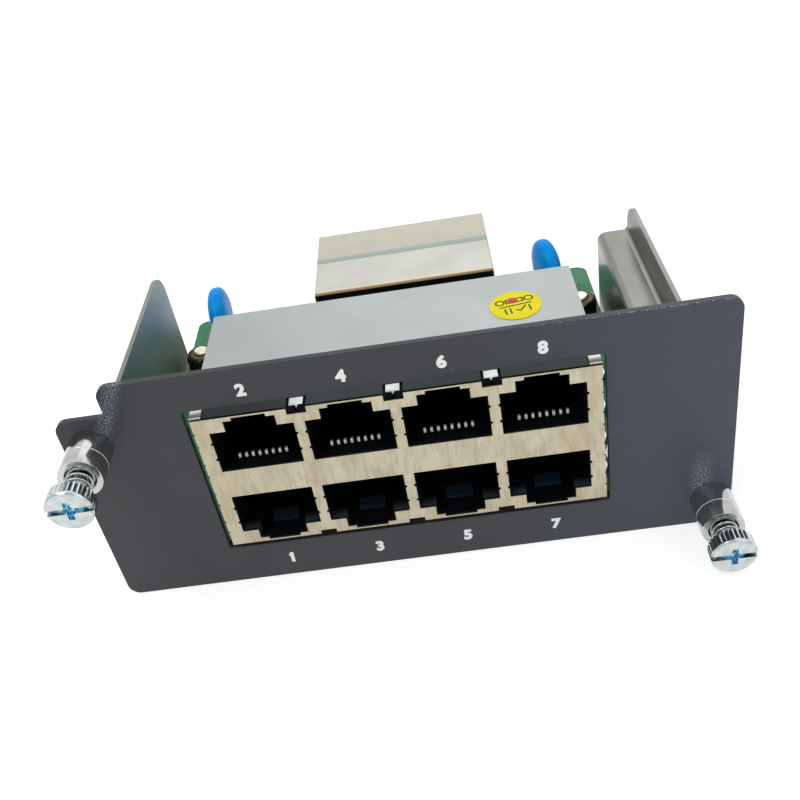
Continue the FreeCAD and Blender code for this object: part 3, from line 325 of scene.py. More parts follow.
@dataclass(frozen=True)
class PowderCoat(Finish):
    """Baked paint with an orange-peel skin and specks of dust, with a painted bluish reflection on
    its right half and painted glints beside the left ear, above the right retainer and along the
    top edge.
    """

    peel: float = 0.5 * MM
    # Painted reflection: the right half drifts to this bluer grey, as if mirroring a bluish light.
    right: Colour = srgb(72, 77, 88)
    bluer: Pair = (5 * MM, 46 * MM)
    speck: Colour = srgb(128, 131, 134)
    speck_size: float = 0.5 * MM
    # Painted glints: bright grains beside the left ear and above the right retainer, where light
    # would catch the peel.
    glint: Colour = srgb(158, 170, 182)
    glint_size: float = 0.2 * MM
    glint_slope: float = 0.49
    glint_line: float = -58.65 * MM
    glint_reach: Pair = (0.5 * MM, 1.7 * MM)
    glint_climb: Pair = (30 * MM, 34 * MM)
    glint_right: tuple[float, float, float] = (43.6 * MM, 45 * MM, 1.5 * MM)
    glint_low: tuple[float, float, float] = (8 * MM, 10.5 * MM, 5 * MM)
    # Painted glints along the top's front edge, mostly to the right.
    worn: Colour = srgb(168, 173, 172)
    chip_size: float = 0.22 * MM
    worn_edge: Pair = (41.34 * MM, 41.4 * MM)
    worn_part: Pair = (16 * MM, 32 * MM)

    def tone(self, graph: Graph) -> Socket:
        """Grey paint with dust specks, a painted bluish reflection to the right, and painted glints
        by the ear, the retainer and the top edge.
        """
        # Painted bluish reflection across the right half.
        drift = graph.mix(graph.along(Axis.RIGHT, *self.bluer), super().tone(graph), self.right)
        specks = graph.span(graph.noise(self.speck_size, 1.0), (0.76, 0.8))
        drift = graph.mix(specks, drift, self.speck)
        drift = graph.mix(self.glints(graph), drift, self.glint)
        # Painted glints along the top edge.
        return graph.mix(self.wear(graph), drift, self.worn)

    def glints(self, graph: Graph) -> Socket:
        """One on the coarse grains beside the left ear and above the right retainer."""
        slope = graph.dot(graph.spot, (1.0, 0.0, -self.glint_slope))
        middle, (near, far) = self.glint_line, self.glint_reach
        left = graph.product(
            graph.span(slope, (middle - far, middle - near)),
            graph.span(slope, (middle + near, middle + far), FALLING),
            graph.along(Axis.UP, *self.glint_climb),
        )
        right = graph.product(
            graph.between(Axis.RIGHT, *self.glint_right), graph.between(Axis.UP, *self.glint_low)
        )
        grains = graph.span(graph.noise(self.glint_size, 2.0), (0.52, 0.62))
        return graph.product(graph.math("ADD", left, right), grains)

    def wear(self, graph: Graph) -> Socket:
        """Painted glints on small specks along the top's front edge, mostly to the right."""
        edge_glint_specks = graph.span(graph.noise(self.chip_size, 1.0), (0.52, 0.6))
        edge = graph.product(
            graph.along(Axis.UP, *self.worn_edge), graph.facing(Axis.FORWARD, 0.25, 0.5)
        )
        return graph.product(edge, edge_glint_specks, graph.along(Axis.RIGHT, *self.worn_part))

    def relief(self, graph: Graph) -> Socket:
        """A soft peel with a finer grain on it."""
        fine = graph.product(graph.noise(self.texture[1] * MM, 2.0), 0.6)
        return graph.math("ADD", graph.noise(self.peel, 2.0), fine)


@dataclass(frozen=True)
class TinPlate(Finish):
    """Satin grey plate polished along its lip, with a warm front that is partly painted reflection,
    painted shade on the lip, and painted highlights and shade on its tabs and spring fingers.
    """

    # The front face's warm cream is partly the plate's own tint and partly a painted warm
    # reflection; the rolling marks are the plate's own.
    front: Colour = srgb(190, 183, 162)
    front_shade: Colour = srgb(175, 166, 142)
    front_ripple: Colour = srgb(160, 150, 126)
    front_roughness: Pair = (0.2, 0.32)
    front_marks: tuple[float, float, float] = (3 * MM, 0.55 * MM, 1.2 * MM)
    lip: Pair = (1.1 * MM, 0.7 * MM)
    lip_roughness: float = 0.12
    # Painted shade on the lip under the panel's edge, where the plate would mirror the dark edge
    # above it.
    lip_shade: Colour = srgb(40, 46, 46)
    lip_level: float = 33.9 * MM
    tab_level: float = 34.3 * MM
    # Painted highlights on the tops of the shield's tabs, a little dimmer at the corners.
    tab: Colour = srgb(232, 246, 250)
    corner_tab: Colour = srgb(212, 209, 205)
    corner: Pair = (26.5 * MM, 27 * MM)
    left_finger: Pair = (29.24 * MM, 29.28 * MM)
    right_finger: Pair = (29.64 * MM, 29.68 * MM)
    # Painted shade with a green cast on the spring fingers' sides.
    finger_side: Colour = srgb(26, 34, 29)

    def tone(self, graph: Graph) -> Socket:
        """A warm front face, partly own tint and partly painted warm reflection, with slanting
        rolling marks, grey elsewhere, then painted shade on the lip and painted light on the tabs
        and fingers.
        """
        broad_size, fine_size, _ = self.front_marks
        broad = graph.noise(broad_size, 3.0, (1.0, 1.0, 0.5), 0.5)
        fine = graph.noise(fine_size, 2.0, (1.0, 1.0, 0.22), 0.55)
        front = graph.mix(graph.span(broad, (0.38, 0.66)), self.front, self.front_shade)
        front = graph.mix(graph.span(fine, (0.5, 0.62), (0.0, 0.45)), front, self.front_ripple)
        # Partly painted warm reflection on the front face.
        sheet = graph.mix(graph.facing(Axis.FORWARD), super().tone(graph), front)
        # Painted shade on the lip under the panel.
        sheet = graph.mix(self.on_lip(graph), sheet, self.lip_shade)
        # Painted highlights on the tab tops.
        tabs = graph.product(
            graph.along(Axis.UP, self.tab_level, self.tab_level + HAIR),
            graph.facing(Axis.UP, 0.3, 0.6),
        )
        corners = self.sides(graph, self.corner, self.corner)
        sheet = graph.mix(tabs, sheet, graph.mix(corners, self.tab, self.corner_tab))
        # Painted highlight on the fingers' up-facing crests and painted shade on their sides.
        painted_finger_light = graph.mix(graph.facing(Axis.UP), self.finger_side, self.tab)
        fingers = self.sides(graph, self.left_finger, self.right_finger)
        return graph.mix(fingers, sheet, painted_finger_light)

    @staticmethod
    def sides(graph: Graph, left: Pair, right: Pair) -> Socket:
        """One to the left of a first place and to the right of a second one."""
        return graph.math(
            "ADD", graph.along(Axis.LEFT, *left), graph.along(Axis.RIGHT, *right)
        )

    def on_lip(self, graph: Graph) -> Socket:
        """One on the strip of the top that runs under the panel, below its corner tabs."""
        rear, front = self.lip
        return graph.product(
            graph.along(Axis.FORWARD, -rear, -front),
            graph.product(
                graph.along(Axis.UP, self.lip_level, self.lip_level + HAIR),
                graph.along(Axis.DOWN, -self.tab_level, HAIR - self.tab_level),
            ),
            graph.facing(Axis.UP),
        )

    def gloss(self, graph: Graph) -> Socket:
        """Brightest along the top's front lip, satin behind it."""
        smears = graph.noise(self.front_marks[2], 4.0)
        front = graph.span(smears, (0.35, 0.65), self.front_roughness)
        base = graph.blend(graph.facing(Axis.FORWARD), super().gloss(graph), front)
        return graph.blend(self.on_lip(graph), base, self.lip_roughness)


@dataclass(frozen=True)
class Laminate(Finish):
    """Glass laminate: solder resist over copper on its faces, bare at its edges."""

    edge: Colour = srgb(150, 160, 105)
    copper: Colour = srgb(78, 152, 110)
    pour: float = 5.5 * MM
    track: float = 1.3 * MM

    def tone(self, graph: Graph) -> Socket:
        """Green faces with paler copper under them, and a straw-coloured edge."""
        copper = graph.span(graph.cells(self.pour, "CHEBYCHEV"), (0.45, 0.5), (0.0, 0.6))
        lines = graph.cells(self.track, "MANHATTAN", "Distance")
        face = graph.mix(copper, super().tone(graph), self.copper)
        face = graph.mix(graph.span(lines, (0.3, 0.34), (0.0, 0.4)), face, self.shade)
        flat = graph.math("ADD", graph.facing(Axis.UP), graph.facing(Axis.DOWN))
        return graph.mix(flat, self.edge, face)


@dataclass(frozen=True)
class Galvanised(Finish):
    """Zinc on steel, with faint spangles, duller on the left wall's inner side, with painted light
    and shade there and painted shade on the flange's inner side.
    """

    spangle: float = 2.6 * MM
    # Painted light and shade on the left wall's inner side, graded by height, standing in for the
    # darker surroundings it faces.
    wall_high: Colour = srgb(126, 144, 150)
    wall_low: Colour = srgb(164, 164, 152)
    wall_climb: Pair = (14 * MM, 25 * MM)
    wall_place: Pair = (42 * MM, 43 * MM)
    wall_roughness: float = 0.5
    # Painted shade on the inner face of the right rail's outer flange.
    flange: Colour = srgb(84, 90, 84)
    flange_place: Pair = (44.4 * MM, 44.5 * MM)

    def tone(self, graph: Graph) -> Socket:
        """Zinc whose crystals differ a little, with painted light and shade graded up the left
        wall's inner side and painted shade on the flange.
        """
        crystals = graph.span(graph.cells(self.spangle), (0.2, 0.8), (0.0, 0.3))
        sheet = graph.mix(crystals, super().tone(graph), self.shade)
        # Painted light and shade graded up the left wall's inner side.
        climb = graph.along(Axis.UP, *self.wall_climb)
        wall = graph.mix(climb, self.wall_low, self.wall_high)
        sheet = graph.mix(self.left_wall(graph), sheet, wall)
        # Painted shade on the flange's inner face.
        place = graph.along(Axis.RIGHT, *self.flange_place)
        return graph.mix(graph.product(place, graph.facing(Axis.LEFT)), sheet, self.flange)

    def left_wall(self, graph: Graph) -> Socket:
        """One on the inner side of the left wall."""
        return graph.product(graph.along(Axis.LEFT, *self.wall_place), graph.facing(Axis.RIGHT))

    def gloss(self, graph: Graph) -> Socket:
        """Satin, and duller on the left wall's inner side."""
        return graph.blend(self.left_wall(graph), super().gloss(graph), self.wall_roughness)


@dataclass(frozen=True)
class DarkMoulding(Finish):
    """Black plastic whose ledges in the lower ports catch a cold light."""

    # Painted light: the colours the lower ports' ledges and latch blocks take where light reaches
    # into them.
    ledge: Colour = srgb(42, 52, 62)
    block: Colour = srgb(28, 42, 52)
    ledge_level: float = 11.85 * MM
    channel_level: float = 9.55 * MM
    ledge_depth: Pair = (0.2 * MM, -1.0 * MM)
    block_depth: Pair = (1.65 * MM, 4.1 * MM)
    block_top: float = 10.15 * MM

    def tone(self, graph: Graph) -> Socket:
        """Black, with painted blue-grey light on the ledges low down near the front and on the
        latch blocks.
        """
        rear, front = self.ledge_depth
        near = graph.along(Axis.FORWARD, -rear, -front)
        level = self.ledge_level
        ledges = graph.product(
            near, graph.facing(Axis.UP), graph.between(Axis.UP, level - HAIR, level + HAIR)
        )
        channels = graph.between(Axis.UP, self.channel_level, level)
        sides = graph.product(near, graph.facing(Axis.RIGHT), channels)
        low, high = self.block_top - 0.02 * MM, self.block_top + HAIR
        tops = graph.product(
            graph.facing(Axis.UP), graph.between(Axis.UP, low, high, 0.04 * MM)
        )
        faces = graph.between(Axis.UP, self.channel_level + 2 * HAIR, self.block_top)
        fronts = graph.product(graph.facing(Axis.FORWARD), faces)
        blocks = graph.product(
            graph.math("ADD", tops, fronts), graph.between(Axis.BACK, *self.block_depth)
        )
        # Painted light on the ledges, the channel sides and the latch blocks.
        lit = graph.math("ADD", ledges, sides)
        return graph.mix(lit, graph.mix(blocks, super().tone(graph), self.block), self.ledge)


@dataclass(frozen=True)
class ContactGold(Finish):
    """Whitened gold on a contact's nose, partly a painted highlight, and painted shade behind it.
    """

    # Painted shade on the contact behind its nose, deep in the dark port.
    behind: Colour = srgb(8, 8, 7)
    bend: Pair = (0.75 * MM, 0.25 * MM)
    upper_nose: Pair = (24.65 * MM, 24.8 * MM)
    lower_nose: Pair = (18.65 * MM, 18.5 * MM)

    def tone(self, graph: Graph) -> Socket:
        """Whitened gold on the bend alone as a painted highlight, fading to painted shade towards
        the back and the foot.
        """
        upper = graph.along(Axis.UP, *self.upper_nose)
        lower = graph.along(Axis.DOWN, *(-level for level in self.lower_nose))
        back = graph.along(Axis.FORWARD, *(-place for place in self.bend))
        bend = graph.product(graph.math("ADD", upper, lower), back)
        return graph.mix(bend, self.behind, super().tone(graph))


@dataclass(frozen=True)
class Moulding(Finish):
    """Beige plastic with a cold glint along the bevel of its step."""

    # Painted glint along the bevel of the step.
    bevel: Colour = srgb(176, 196, 190)
    bevel_rise: Pair = (62.6 * MM, 63.0 * MM)
    bevel_fall: Pair = (64.3 * MM, 63.9 * MM)

    def tone(self, graph: Graph) -> Socket:
        """Beige, with a painted pale blue glint along the bevel."""
        painted_bevel_glint = graph.product(
            graph.along(Axis.BACK, *self.bevel_rise),
            graph.along(Axis.BACK, *self.bevel_fall),
            graph.facing(Axis.UP, 0.3, 0.5),
        )
        return graph.mix(painted_bevel_glint, super().tone(graph), self.bevel)


@dataclass(frozen=True)
class FoldedPlate(Finish):
    """Plate with a painted warm highlight along its fold and painted shade on its front."""

    # Painted highlight along the fold, edged with painted shade.
    fold: Colour = srgb(206, 190, 160)
    fold_edge: Colour = srgb(128, 108, 80)
    # Painted shade on the plate's front face.
    front: Colour = srgb(58, 57, 50)
    rear: Colour = srgb(132, 134, 128)
    fold_place: tuple[float, float, float] = (51.6 * MM, 50.9 * MM, 50.55 * MM)
    rear_place: Pair = (62.0 * MM, 62.7 * MM)

    def tone(self, graph: Graph) -> Socket:
        """Grey, with a painted cream highlight at the fold edged by painted shade, painted shade on
        the front, and darker along the step behind.
        """
        start, end, edge = (-place for place in self.fold_place)
        fold = graph.along(Axis.FORWARD, start, end)
        sheet = graph.mix(fold, super().tone(graph), self.fold)
        sheet = graph.mix(graph.along(Axis.FORWARD, end, edge), sheet, self.fold_edge)
        sheet = graph.mix(graph.along(Axis.BACK, *self.rear_place), sheet, self.rear)
        return graph.mix(graph.facing(Axis.FORWARD, 0.85, 0.98), sheet, self.front)


@dataclass(frozen=True)
class ScrewPlate(Finish):
    """Bright zinc whose recess has kept its blue passivation, with painted reflections in the
    recess and painted shade on the knurl.
    """

    axis: tuple[float, float, float] = (0.0, 0.0, 0.0)
    face: float = 0.0
    # Blue passivation in the recess, with light and dark facets painted as reflections.
    centre_blue: Colour = srgb(176, 220, 238)
    centre_dark: Colour = srgb(116, 158, 182)
    slot_blue: Colour = srgb(196, 206, 208)
    slot_dark: Colour = srgb(84, 98, 108)
    # Painted shade on the knurled side of the head.
    groove: Colour = srgb(128, 148, 158)
    facet: float = 0.55 * MM
    centre_reach: float = 1.75 * MM
    slot_reach: float = 3.0 * MM
    recess: tuple[float, float, float, float] = (0.05 * MM, 0.15 * MM, 2.3 * MM, 2.2 * MM)
    knurl: Pair = (2.9 * MM, 3.32 * MM)

    def tone(self, graph: Graph) -> Socket:
        """Zinc outside, with painted shade on the knurl, and blue passivation inside the recess
        broken into painted light and dark reflections.
        """
        centre = Vector(self.axis)
        painted_reflection_facets = graph.span(graph.cells(self.facet), (0.35, 0.65))
        blue = graph.mix(painted_reflection_facets, self.centre_dark, self.centre_blue)
        steel = graph.mix(painted_reflection_facets, self.slot_dark, self.slot_blue)
        near, start, end, far = (self.face + depth for depth in self.recess)
        inside = graph.product(
            graph.along(Axis.BACK, near, start), graph.along(Axis.BACK, end, far)
        )
        slot = graph.product(inside, graph.within(centre, self.slot_reach))
        cross = graph.product(inside, graph.within(centre, self.centre_reach))
        inner, outer = (graph.within(centre, reach) for reach in self.knurl)
        front = graph.span(graph.facing(Axis.FORWARD, 0.5, 0.8), (0.0, 1.0), FALLING)
        shaded_grooves = graph.product(graph.math("SUBTRACT", outer, inner), front)
        plate = graph.mix(shaded_grooves, super().tone(graph), self.groove)
        return graph.mix(cross, graph.mix(slot, plate, steel), blue)


PANEL_PAINT = PowderCoat(
    "powder_coat", srgb(64, 65, 69), srgb(57, 60, 64), (0.36, 0.46), (14, 0.16, 0.022), specular=0.3
)
NUMBER_INK = Finish(
    "number_ink", srgb(255, 255, 255), srgb(250, 251, 251), (0.45, 0.6), (0.8, 0.1, 0.004)
)
ZINC = Galvanised(
    "zinc_sheet", srgb(150, 151, 144), srgb(128, 130, 124), (0.24, 0.34), (7, 0.3, 0.004), 1.0,
    stretch=(1.0, 0.35, 1.0),
)
BOARD = Laminate(
    "board_laminate", srgb(34, 140, 86), srgb(24, 120, 70), (0.3, 0.4), (3, 0.35, 0.004),
    coat=0.08, specular=0.25,
)
SHIELD = TinPlate(
    "tin_plate", srgb(169, 175, 174), srgb(164, 170, 169), (0.36, 0.42), (12, 0.2, 0.001), 1.0
)
HOUSING_PLASTIC = DarkMoulding(
    "black_moulding", srgb(12, 13, 16), srgb(7, 8, 10), (0.5, 0.62), (3, 0.15, 0.004), specular=0.06
)
GOLD = Finish(
    "gold_plate", srgb(240, 208, 136), srgb(222, 180, 98), (0.14, 0.26), (0.6, 0.1, 0.001), 1.0
)
# The contacts' near-white gold is partly a painted highlight.
CONTACT = ContactGold(
    "contact_gold", srgb(255, 253, 244), srgb(255, 248, 228), (0.07, 0.12), (0.6, 0.1, 0.001), 0.3
)
PLATED = Finish(
    "bright_plate", srgb(198, 203, 203), srgb(174, 180, 180), (0.22, 0.34), (2, 0.15, 0.002), 1.0
)
STUD_PLATE = Finish(
    "stud_plate", srgb(242, 238, 216), srgb(220, 214, 190), (0.24, 0.36), (1, 0.12, 0.003), 1.0
)
FOLDED = FoldedPlate(
    "folded_plate", srgb(188, 188, 181), srgb(181, 180, 173), (0.32, 0.42), (9, 0.2, 0.002), 1.0
)
SOLDER = Finish(
    "solder", srgb(206, 208, 206), srgb(172, 175, 174), (0.2, 0.34), (0.8, 0.2, 0.01), 1.0
)
DARK_NUT = Finish(
    "blackened_steel", srgb(96, 90, 74), srgb(44, 40, 30), (0.18, 0.3), (1.2, 0.15, 0.003), 1.0
)
NICKEL = Finish(
    "bright_nickel", srgb(196, 196, 195), srgb(180, 182, 183), (0.12, 0.18), (1.5, 0.3, 0.001), 1.0
)
SPRING_WIRE = Finish(
    "spring_wire", srgb(198, 201, 200), srgb(164, 167, 167), (0.12, 0.2), (0.7, 0.1, 0.001), 1.0
)
BLUE_RESIN = Finish(
    "blue_resin", srgb(0, 166, 255), srgb(0, 146, 245), (0.3, 0.42), (2.2, 1.4, 0.08),
    coat=0.12, coat_roughness=0.05, specular=0.05,
)
BEIGE_PLASTIC = Moulding(
    "beige_moulding", srgb(218, 215, 198), srgb(211, 208, 191), (0.4, 0.5), (14, 0.2, 0.003),
    specular=0.25,
)
CHIP_BLACK = Finish(
    "black_epoxy", srgb(38, 38, 39), srgb(26, 26, 27), (0.5, 0.65), (1.5, 0.1, 0.006)
)
CERAMIC = Finish(
    "tan_ceramic", srgb(150, 118, 84), srgb(128, 98, 68), (0.4, 0.55), (0.6, 0.1, 0.003)
)
SILK_INK = Finish(
    "legend_ink", srgb(226, 228, 222), srgb(206, 209, 202), (0.5, 0.65), (0.8, 0.1, 0.003)
)
LABEL_YELLOW = Finish(
    "yellow_label", srgb(255, 242, 0), srgb(248, 232, 0), (0.35, 0.5), (2.5, 0.15, 0.003),
    specular=0.15,
)
LABEL_BLACK = Finish(
    "black_ink", srgb(48, 45, 16), srgb(70, 66, 22), (0.45, 0.6), (0.6, 0.1, 0.002)
)
LABEL_RED = Finish(
    "red_ink", srgb(222, 48, 40), srgb(190, 24, 16), (0.25, 0.4), (0.5, 0.2, 0.01),
    coat=0.15, specular=0.3,
)

NODE_FINISH: dict[str, Finish] = {
    node: finish
    for finish, nodes in (
        (PANEL_PAINT, "front_panel"),
        (ZINC, "tray_chassis"),
        (BOARD, "circuit_board"),
        (STUD_PLATE, "board_studs"),
        (DARK_NUT, "board_nuts"),
        (SHIELD, "jack_shield"),
        (HOUSING_PLASTIC, "jack_housing"),
        (CONTACT, "upper_port_contacts lower_port_contacts"),
        (BEIGE_PLASTIC, "backplane_connector_housing"),
        (FOLDED, "backplane_connector_plate"),
        (GOLD, "backplane_connector_pins"),
        (CHIP_BLACK, "interface_chip line_transformers"),
        (LABEL_YELLOW, "inspection_sticker"),
        (BLUE_RESIN, "left_capacitor right_capacitor"),
        (PLATED, "board_spacers shield_dividers left_capacitor_leads right_capacitor_leads"),
        (NICKEL, "left_retainer right_retainer"),
        (SPRING_WIRE, "left_spring right_spring"),
    )
    for node in nodes.split()
}


# ------------------------------------------------------------------------------ making pieces
def new_piece(
    name: str, shape: Shape, finish: Finish, node: str, body: str = "", smooth: float = 35.0
) -> bpy.types.Object:
    """Turns a bmesh into a piece that belongs to a node.

    Args:
        name: the piece's name.
        shape: its form, which is freed.
        finish: its material.
        node: the node whose body carries it when no body is given.
        body: the body that carries it, or none for the node's own.
        smooth: edges sharper than this many degrees stay crisp.

    Returns:
        The piece.
    """
    mesh = bpy.data.meshes.new(name)
    shape.to_mesh(mesh)
    shape.free()
    mesh.materials.append(finish.build())
    mesh.shade_smooth()
    mesh.set_sharp_from_angle(angle=math.radians(smooth))
    piece = bpy.data.objects.new(name, mesh)
    bpy.context.scene.collection.objects.link(piece)
    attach(piece, body or NODE_BODY[node])
    LOG.info("%s: %d faces", name, len(mesh.polygons))
    return piece


def stand_in(
    node: str, suffix: str, shape: Shape, finish: Finish | None = None, **settings: str | float
) -> bpy.types.Object:
    """A piece that stands for a node.

    Args:
        node: the node it stands for.
        suffix: what its name adds to the node's.
        shape: its form.
        finish: its material, or none for the node's usual one.
        settings: the body and the smoothing of new_piece.

    Returns:
        The piece.
    """
    finish = finish or NODE_FINISH[node]
    piece = new_piece(f"{node}_{suffix}", shape, finish, node, **settings)
    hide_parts(node)
    return piece


def refined(
    node: str, bevel: float = 0.0, segments: int = 2, finish: Finish | None = None
) -> bpy.types.Object:
    """A merged copy of a node with softened edges, which stands for it.

    Args:
        node: the node it stands for.
        bevel: the width of its softened edges.
        segments: how round they are.
        finish: its material, or none for the node's usual one.

    Returns:
        The piece.
    """
    shape = bmesh.new()
    shape.from_mesh(frame["nodes"][node].data)
    bmesh.ops.remove_doubles(shape, verts=shape.verts, dist=1e-6)
    bmesh.ops.dissolve_limit(
        shape, angle_limit=math.radians(0.5), verts=shape.verts, edges=shape.edges
    )
    piece = stand_in(node, "finished", shape, finish)
    if bevel:
        soften = piece.modifiers.new("soft_edges", "BEVEL")
        soften.width = bevel
        soften.segments = segments
        soften.limit_method = "ANGLE"
        soften.angle_limit = math.radians(35)
        soften.harden_normals = True
        soften.use_clamp_overlap = True
    return piece


def carried(node: str) -> None:
    """Gives a node that stays as it is its finish."""
    materials = frame["nodes"][node].data.materials
    materials.clear()
    materials.append(NODE_FINISH[node].build())


def join(shape: Shape, other: Shape, place: Matrix) -> None:
    """Moves a second form to its place and adds it to the first."""
    bmesh.ops.transform(other, matrix=place, verts=other.verts)
    mesh = bpy.data.meshes.new("joined")
    other.to_mesh(mesh)
    other.free()
    shape.from_mesh(mesh)
    bpy.data.meshes.remove(mesh)


def add_block(
    shape: Shape, low: Sequence[float], high: Sequence[float], bevel: float = 0.0
) -> None:
    """Adds a box between two corners, with softened edges if asked."""
    low_corner, high_corner = Vector(low), Vector(high)
    size = high_corner - low_corner
    place = Matrix.Translation((low_corner + high_corner) / 2) @ Matrix.Diagonal((*size, 1))
    made = bmesh.ops.create_cube(shape, size=1.0, matrix=place)
    if bevel:
        edges = list({edge for vertex in made["verts"] for edge in vertex.link_edges})
        bmesh.ops.bevel(
            shape, geom=edges, offset=bevel, affect="EDGES", segments=2, profile=0.5, material=-1
        )


def add_disc(
    shape: Shape,
    centre: Vector,
    radius: float,
    height: float,
    sides: int = 40,
    tip: float | None = None,
) -> None:
    """Adds an upright round plate or cone that stands on its centre point.

    Args:
        shape: what it is added to.
        centre: the middle of its foot.
        radius: the foot's radius.
        height: its height.
        sides: how many sides it has.
        tip: the top's radius, or none for the foot's.
    """
    bmesh.ops.create_cone(
        shape, cap_ends=True, segments=sides, radius1=radius,
        radius2=radius if tip is None else tip, depth=height,
        matrix=Matrix.Translation(centre + Vector((0, 0, height / 2))),
    )


def add_frame(shape: Shape, low: Vector, high: Vector, line: float, height: float) -> None:
    """Adds a flat rectangular outline between two corners.

    Args:
        shape: what it is added to.
        low: the near left corner.
        high: the far right corner.
        line: the width of its lines.
        height: how thick it is.
    """
    top = low.z + height
    add_block(shape, low, (high.x, low.y + line, top))
    add_block(shape, (low.x, high.y - line, low.z), (high.x, high.y, top))
    add_block(shape, (low.x, low.y + line, low.z), (low.x + line, high.y - line, top))
    add_block(shape, (high.x - line, low.y + line, low.z), (high.x, high.y - line, top))


def add_loop(
    shape: Shape, points: Sequence[Vector]
) -> list[bmesh.types.BMVert | bmesh.types.BMEdge]:
    """Adds a closed outline through some points, and gives back its corners and edges."""
    corners = [shape.verts.new(point) for point in points]
    edges = [
        shape.edges.new((corners[index - 1], corner)) for index, corner in enumerate(corners)
    ]
    return corners + edges


def turned(
    shape: Shape, points: Sequence[Vector], centre: Vector, axis: Axis, steps: int
) -> None:
    """Turns a closed outline once round an axis.

    Args:
        shape: what it is added to.
        points: the outline's corners.
        centre: a point on the axis.
        axis: the axis's direction.
        steps: how many facets the turn has.
    """
    bmesh.ops.spin(
        shape, geom=add_loop(shape, points), cent=centre, axis=axis.value, angle=math.tau,
        steps=steps, use_merge=True,
    )


def wind(
    shape: Shape, start: Vector, centre: Vector, rise: float, turns: int, steps: int
) -> None:
    """Winds everything drawn so far about an axis along Y, and closes its ends.

    Args:
        shape: the section to be wound.
        start: a point on the section.
        centre: a point on the axis.
        rise: how far each turn climbs along Y.
        turns: how many turns there are.
        steps: how many steps each turn has.
    """
    bmesh.ops.spin(
        shape, geom=shape.verts[:] + shape.edges[:], cent=(centre.x, start.y, centre.z),
        axis=Axis.BACK.value, dvec=(0.0, rise / steps, 0.0), angle=math.tau * turns,
        steps=turns * steps, use_merge=False,
    )
    bmesh.ops.holes_fill(shape, edges=shape.edges)
    bmesh.ops.recalc_face_normals(shape, faces=shape.faces)


# ------------------------------------------------------------------------------ sub-assemblies
@dataclass
class FrontPanel:
    """The painted panel with its port numbers."""

    edge: float = 0.12 * MM
    number_height: float = 2.2 * MM
    ink: float = 0.02 * MM
    upper_level: float = 37.8 * MM
    lower_level: float = 3.85 * MM
    columns: tuple[float, ...] = (-20.9 * MM, -6.6 * MM, 7.6 * MM, 21.7 * MM)
    weight: float = 0.02
    spread: float = 0.2 * MM
    layers: int = 8
    layer: float = 0.001 * MM
    stroke: Pair = (0.85 * MM, 0.42 * MM)
    stroke_turn: float = math.radians(-35)

    def glyph(self, digit: int) -> bpy.types.Mesh:
        """A digit's flat outline, filled and slightly thick, as a mesh."""
        curve = bpy.data.curves.new("glyph", "FONT")
        curve.body = str(digit)
        curve.offset = self.weight
        curve.extrude = 0.001
        text = bpy.data.objects.new("glyph", curve)
        bpy.context.scene.collection.objects.link(text)
        bpy.context.view_layer.update()
        mesh = bpy.data.meshes.new_from_object(
            text.evaluated_get(bpy.context.evaluated_depsgraph_get())
        )
        bpy.data.objects.remove(text)
        return mesh

    def number(self, digit: int, x: float, z: float) -> None:
        """Prints one port number, as a few prints laid over each other to thicken its strokes.

        Args:
            digit: the number.
            x: its middle across the panel.
            z: the height of its middle.
        """
        mesh = self.glyph(digit)
        low, high = (
            Vector([end(vertex.co[axis] for vertex in mesh.vertices) for axis in range(3)])
            for end in (min, max)
        )
        scale = (self.number_height - self.spread) / (high.y - low.y)
        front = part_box("front_panel")[0].y
        shape = bmesh.new()
        for step in range(self.layers):
            angle = math.tau * step / self.layers
            shift = Vector((math.cos(angle), 0.0, math.sin(angle))) * (self.spread / 2)
            sheet = bmesh.new()
            sheet.from_mesh(mesh)
            bmesh.ops.remove_doubles(sheet, verts=sheet.verts, dist=1e-5)
            join(
                shape, sheet,
                Matrix.Translation(Vector((x, front - self.ink - step * self.layer, z)) + shift)
                @ Matrix.Rotation(math.pi / 2, 4, "X")
                @ Matrix.Diagonal((scale, scale, self.ink / (high.z - low.z), 1))
                @ Matrix.Translation(-(low + high) / 2 - Vector((0, 0, (high.z - low.z) / 2))),
            )
        bpy.data.meshes.remove(mesh)
        if digit == 1:
            self.flag(shape, Vector((x, front, z + self.number_height / 2)))
        new_piece(f"port_number_{digit}", shape, NUMBER_INK, "front_panel")

    def flag(self, shape: Shape, top: Vector) -> None:
        """Adds the slanting stroke at the head of a one, which runs down to the left."""
        bar = bmesh.new()
        length, width = self.stroke
        add_block(bar, (-length, -self.ink, -width), (0.0, 0.0, 0.0))
        above = Vector((width / 3, -(self.layers + 1) * self.layer, 0.0))
        join(
            shape, bar, Matrix.Translation(top + above) @ Matrix.Rotation(self.stroke_turn, 4, "Y")
        )

    def build(self) -> None:
        """Makes the panel and its numbers."""
        refined("front_panel", self.edge)
        for column, x in enumerate(self.columns):
            self.number(2 * column + 2, x, self.upper_level)
            self.number(2 * column + 1, x, self.lower_level)


@dataclass
class Tray:
    """The folded steel tray."""

    edge: float = 0.08 * MM

    def build(self) -> None:
        """Makes the tray."""
        refined("tray_chassis", self.edge)


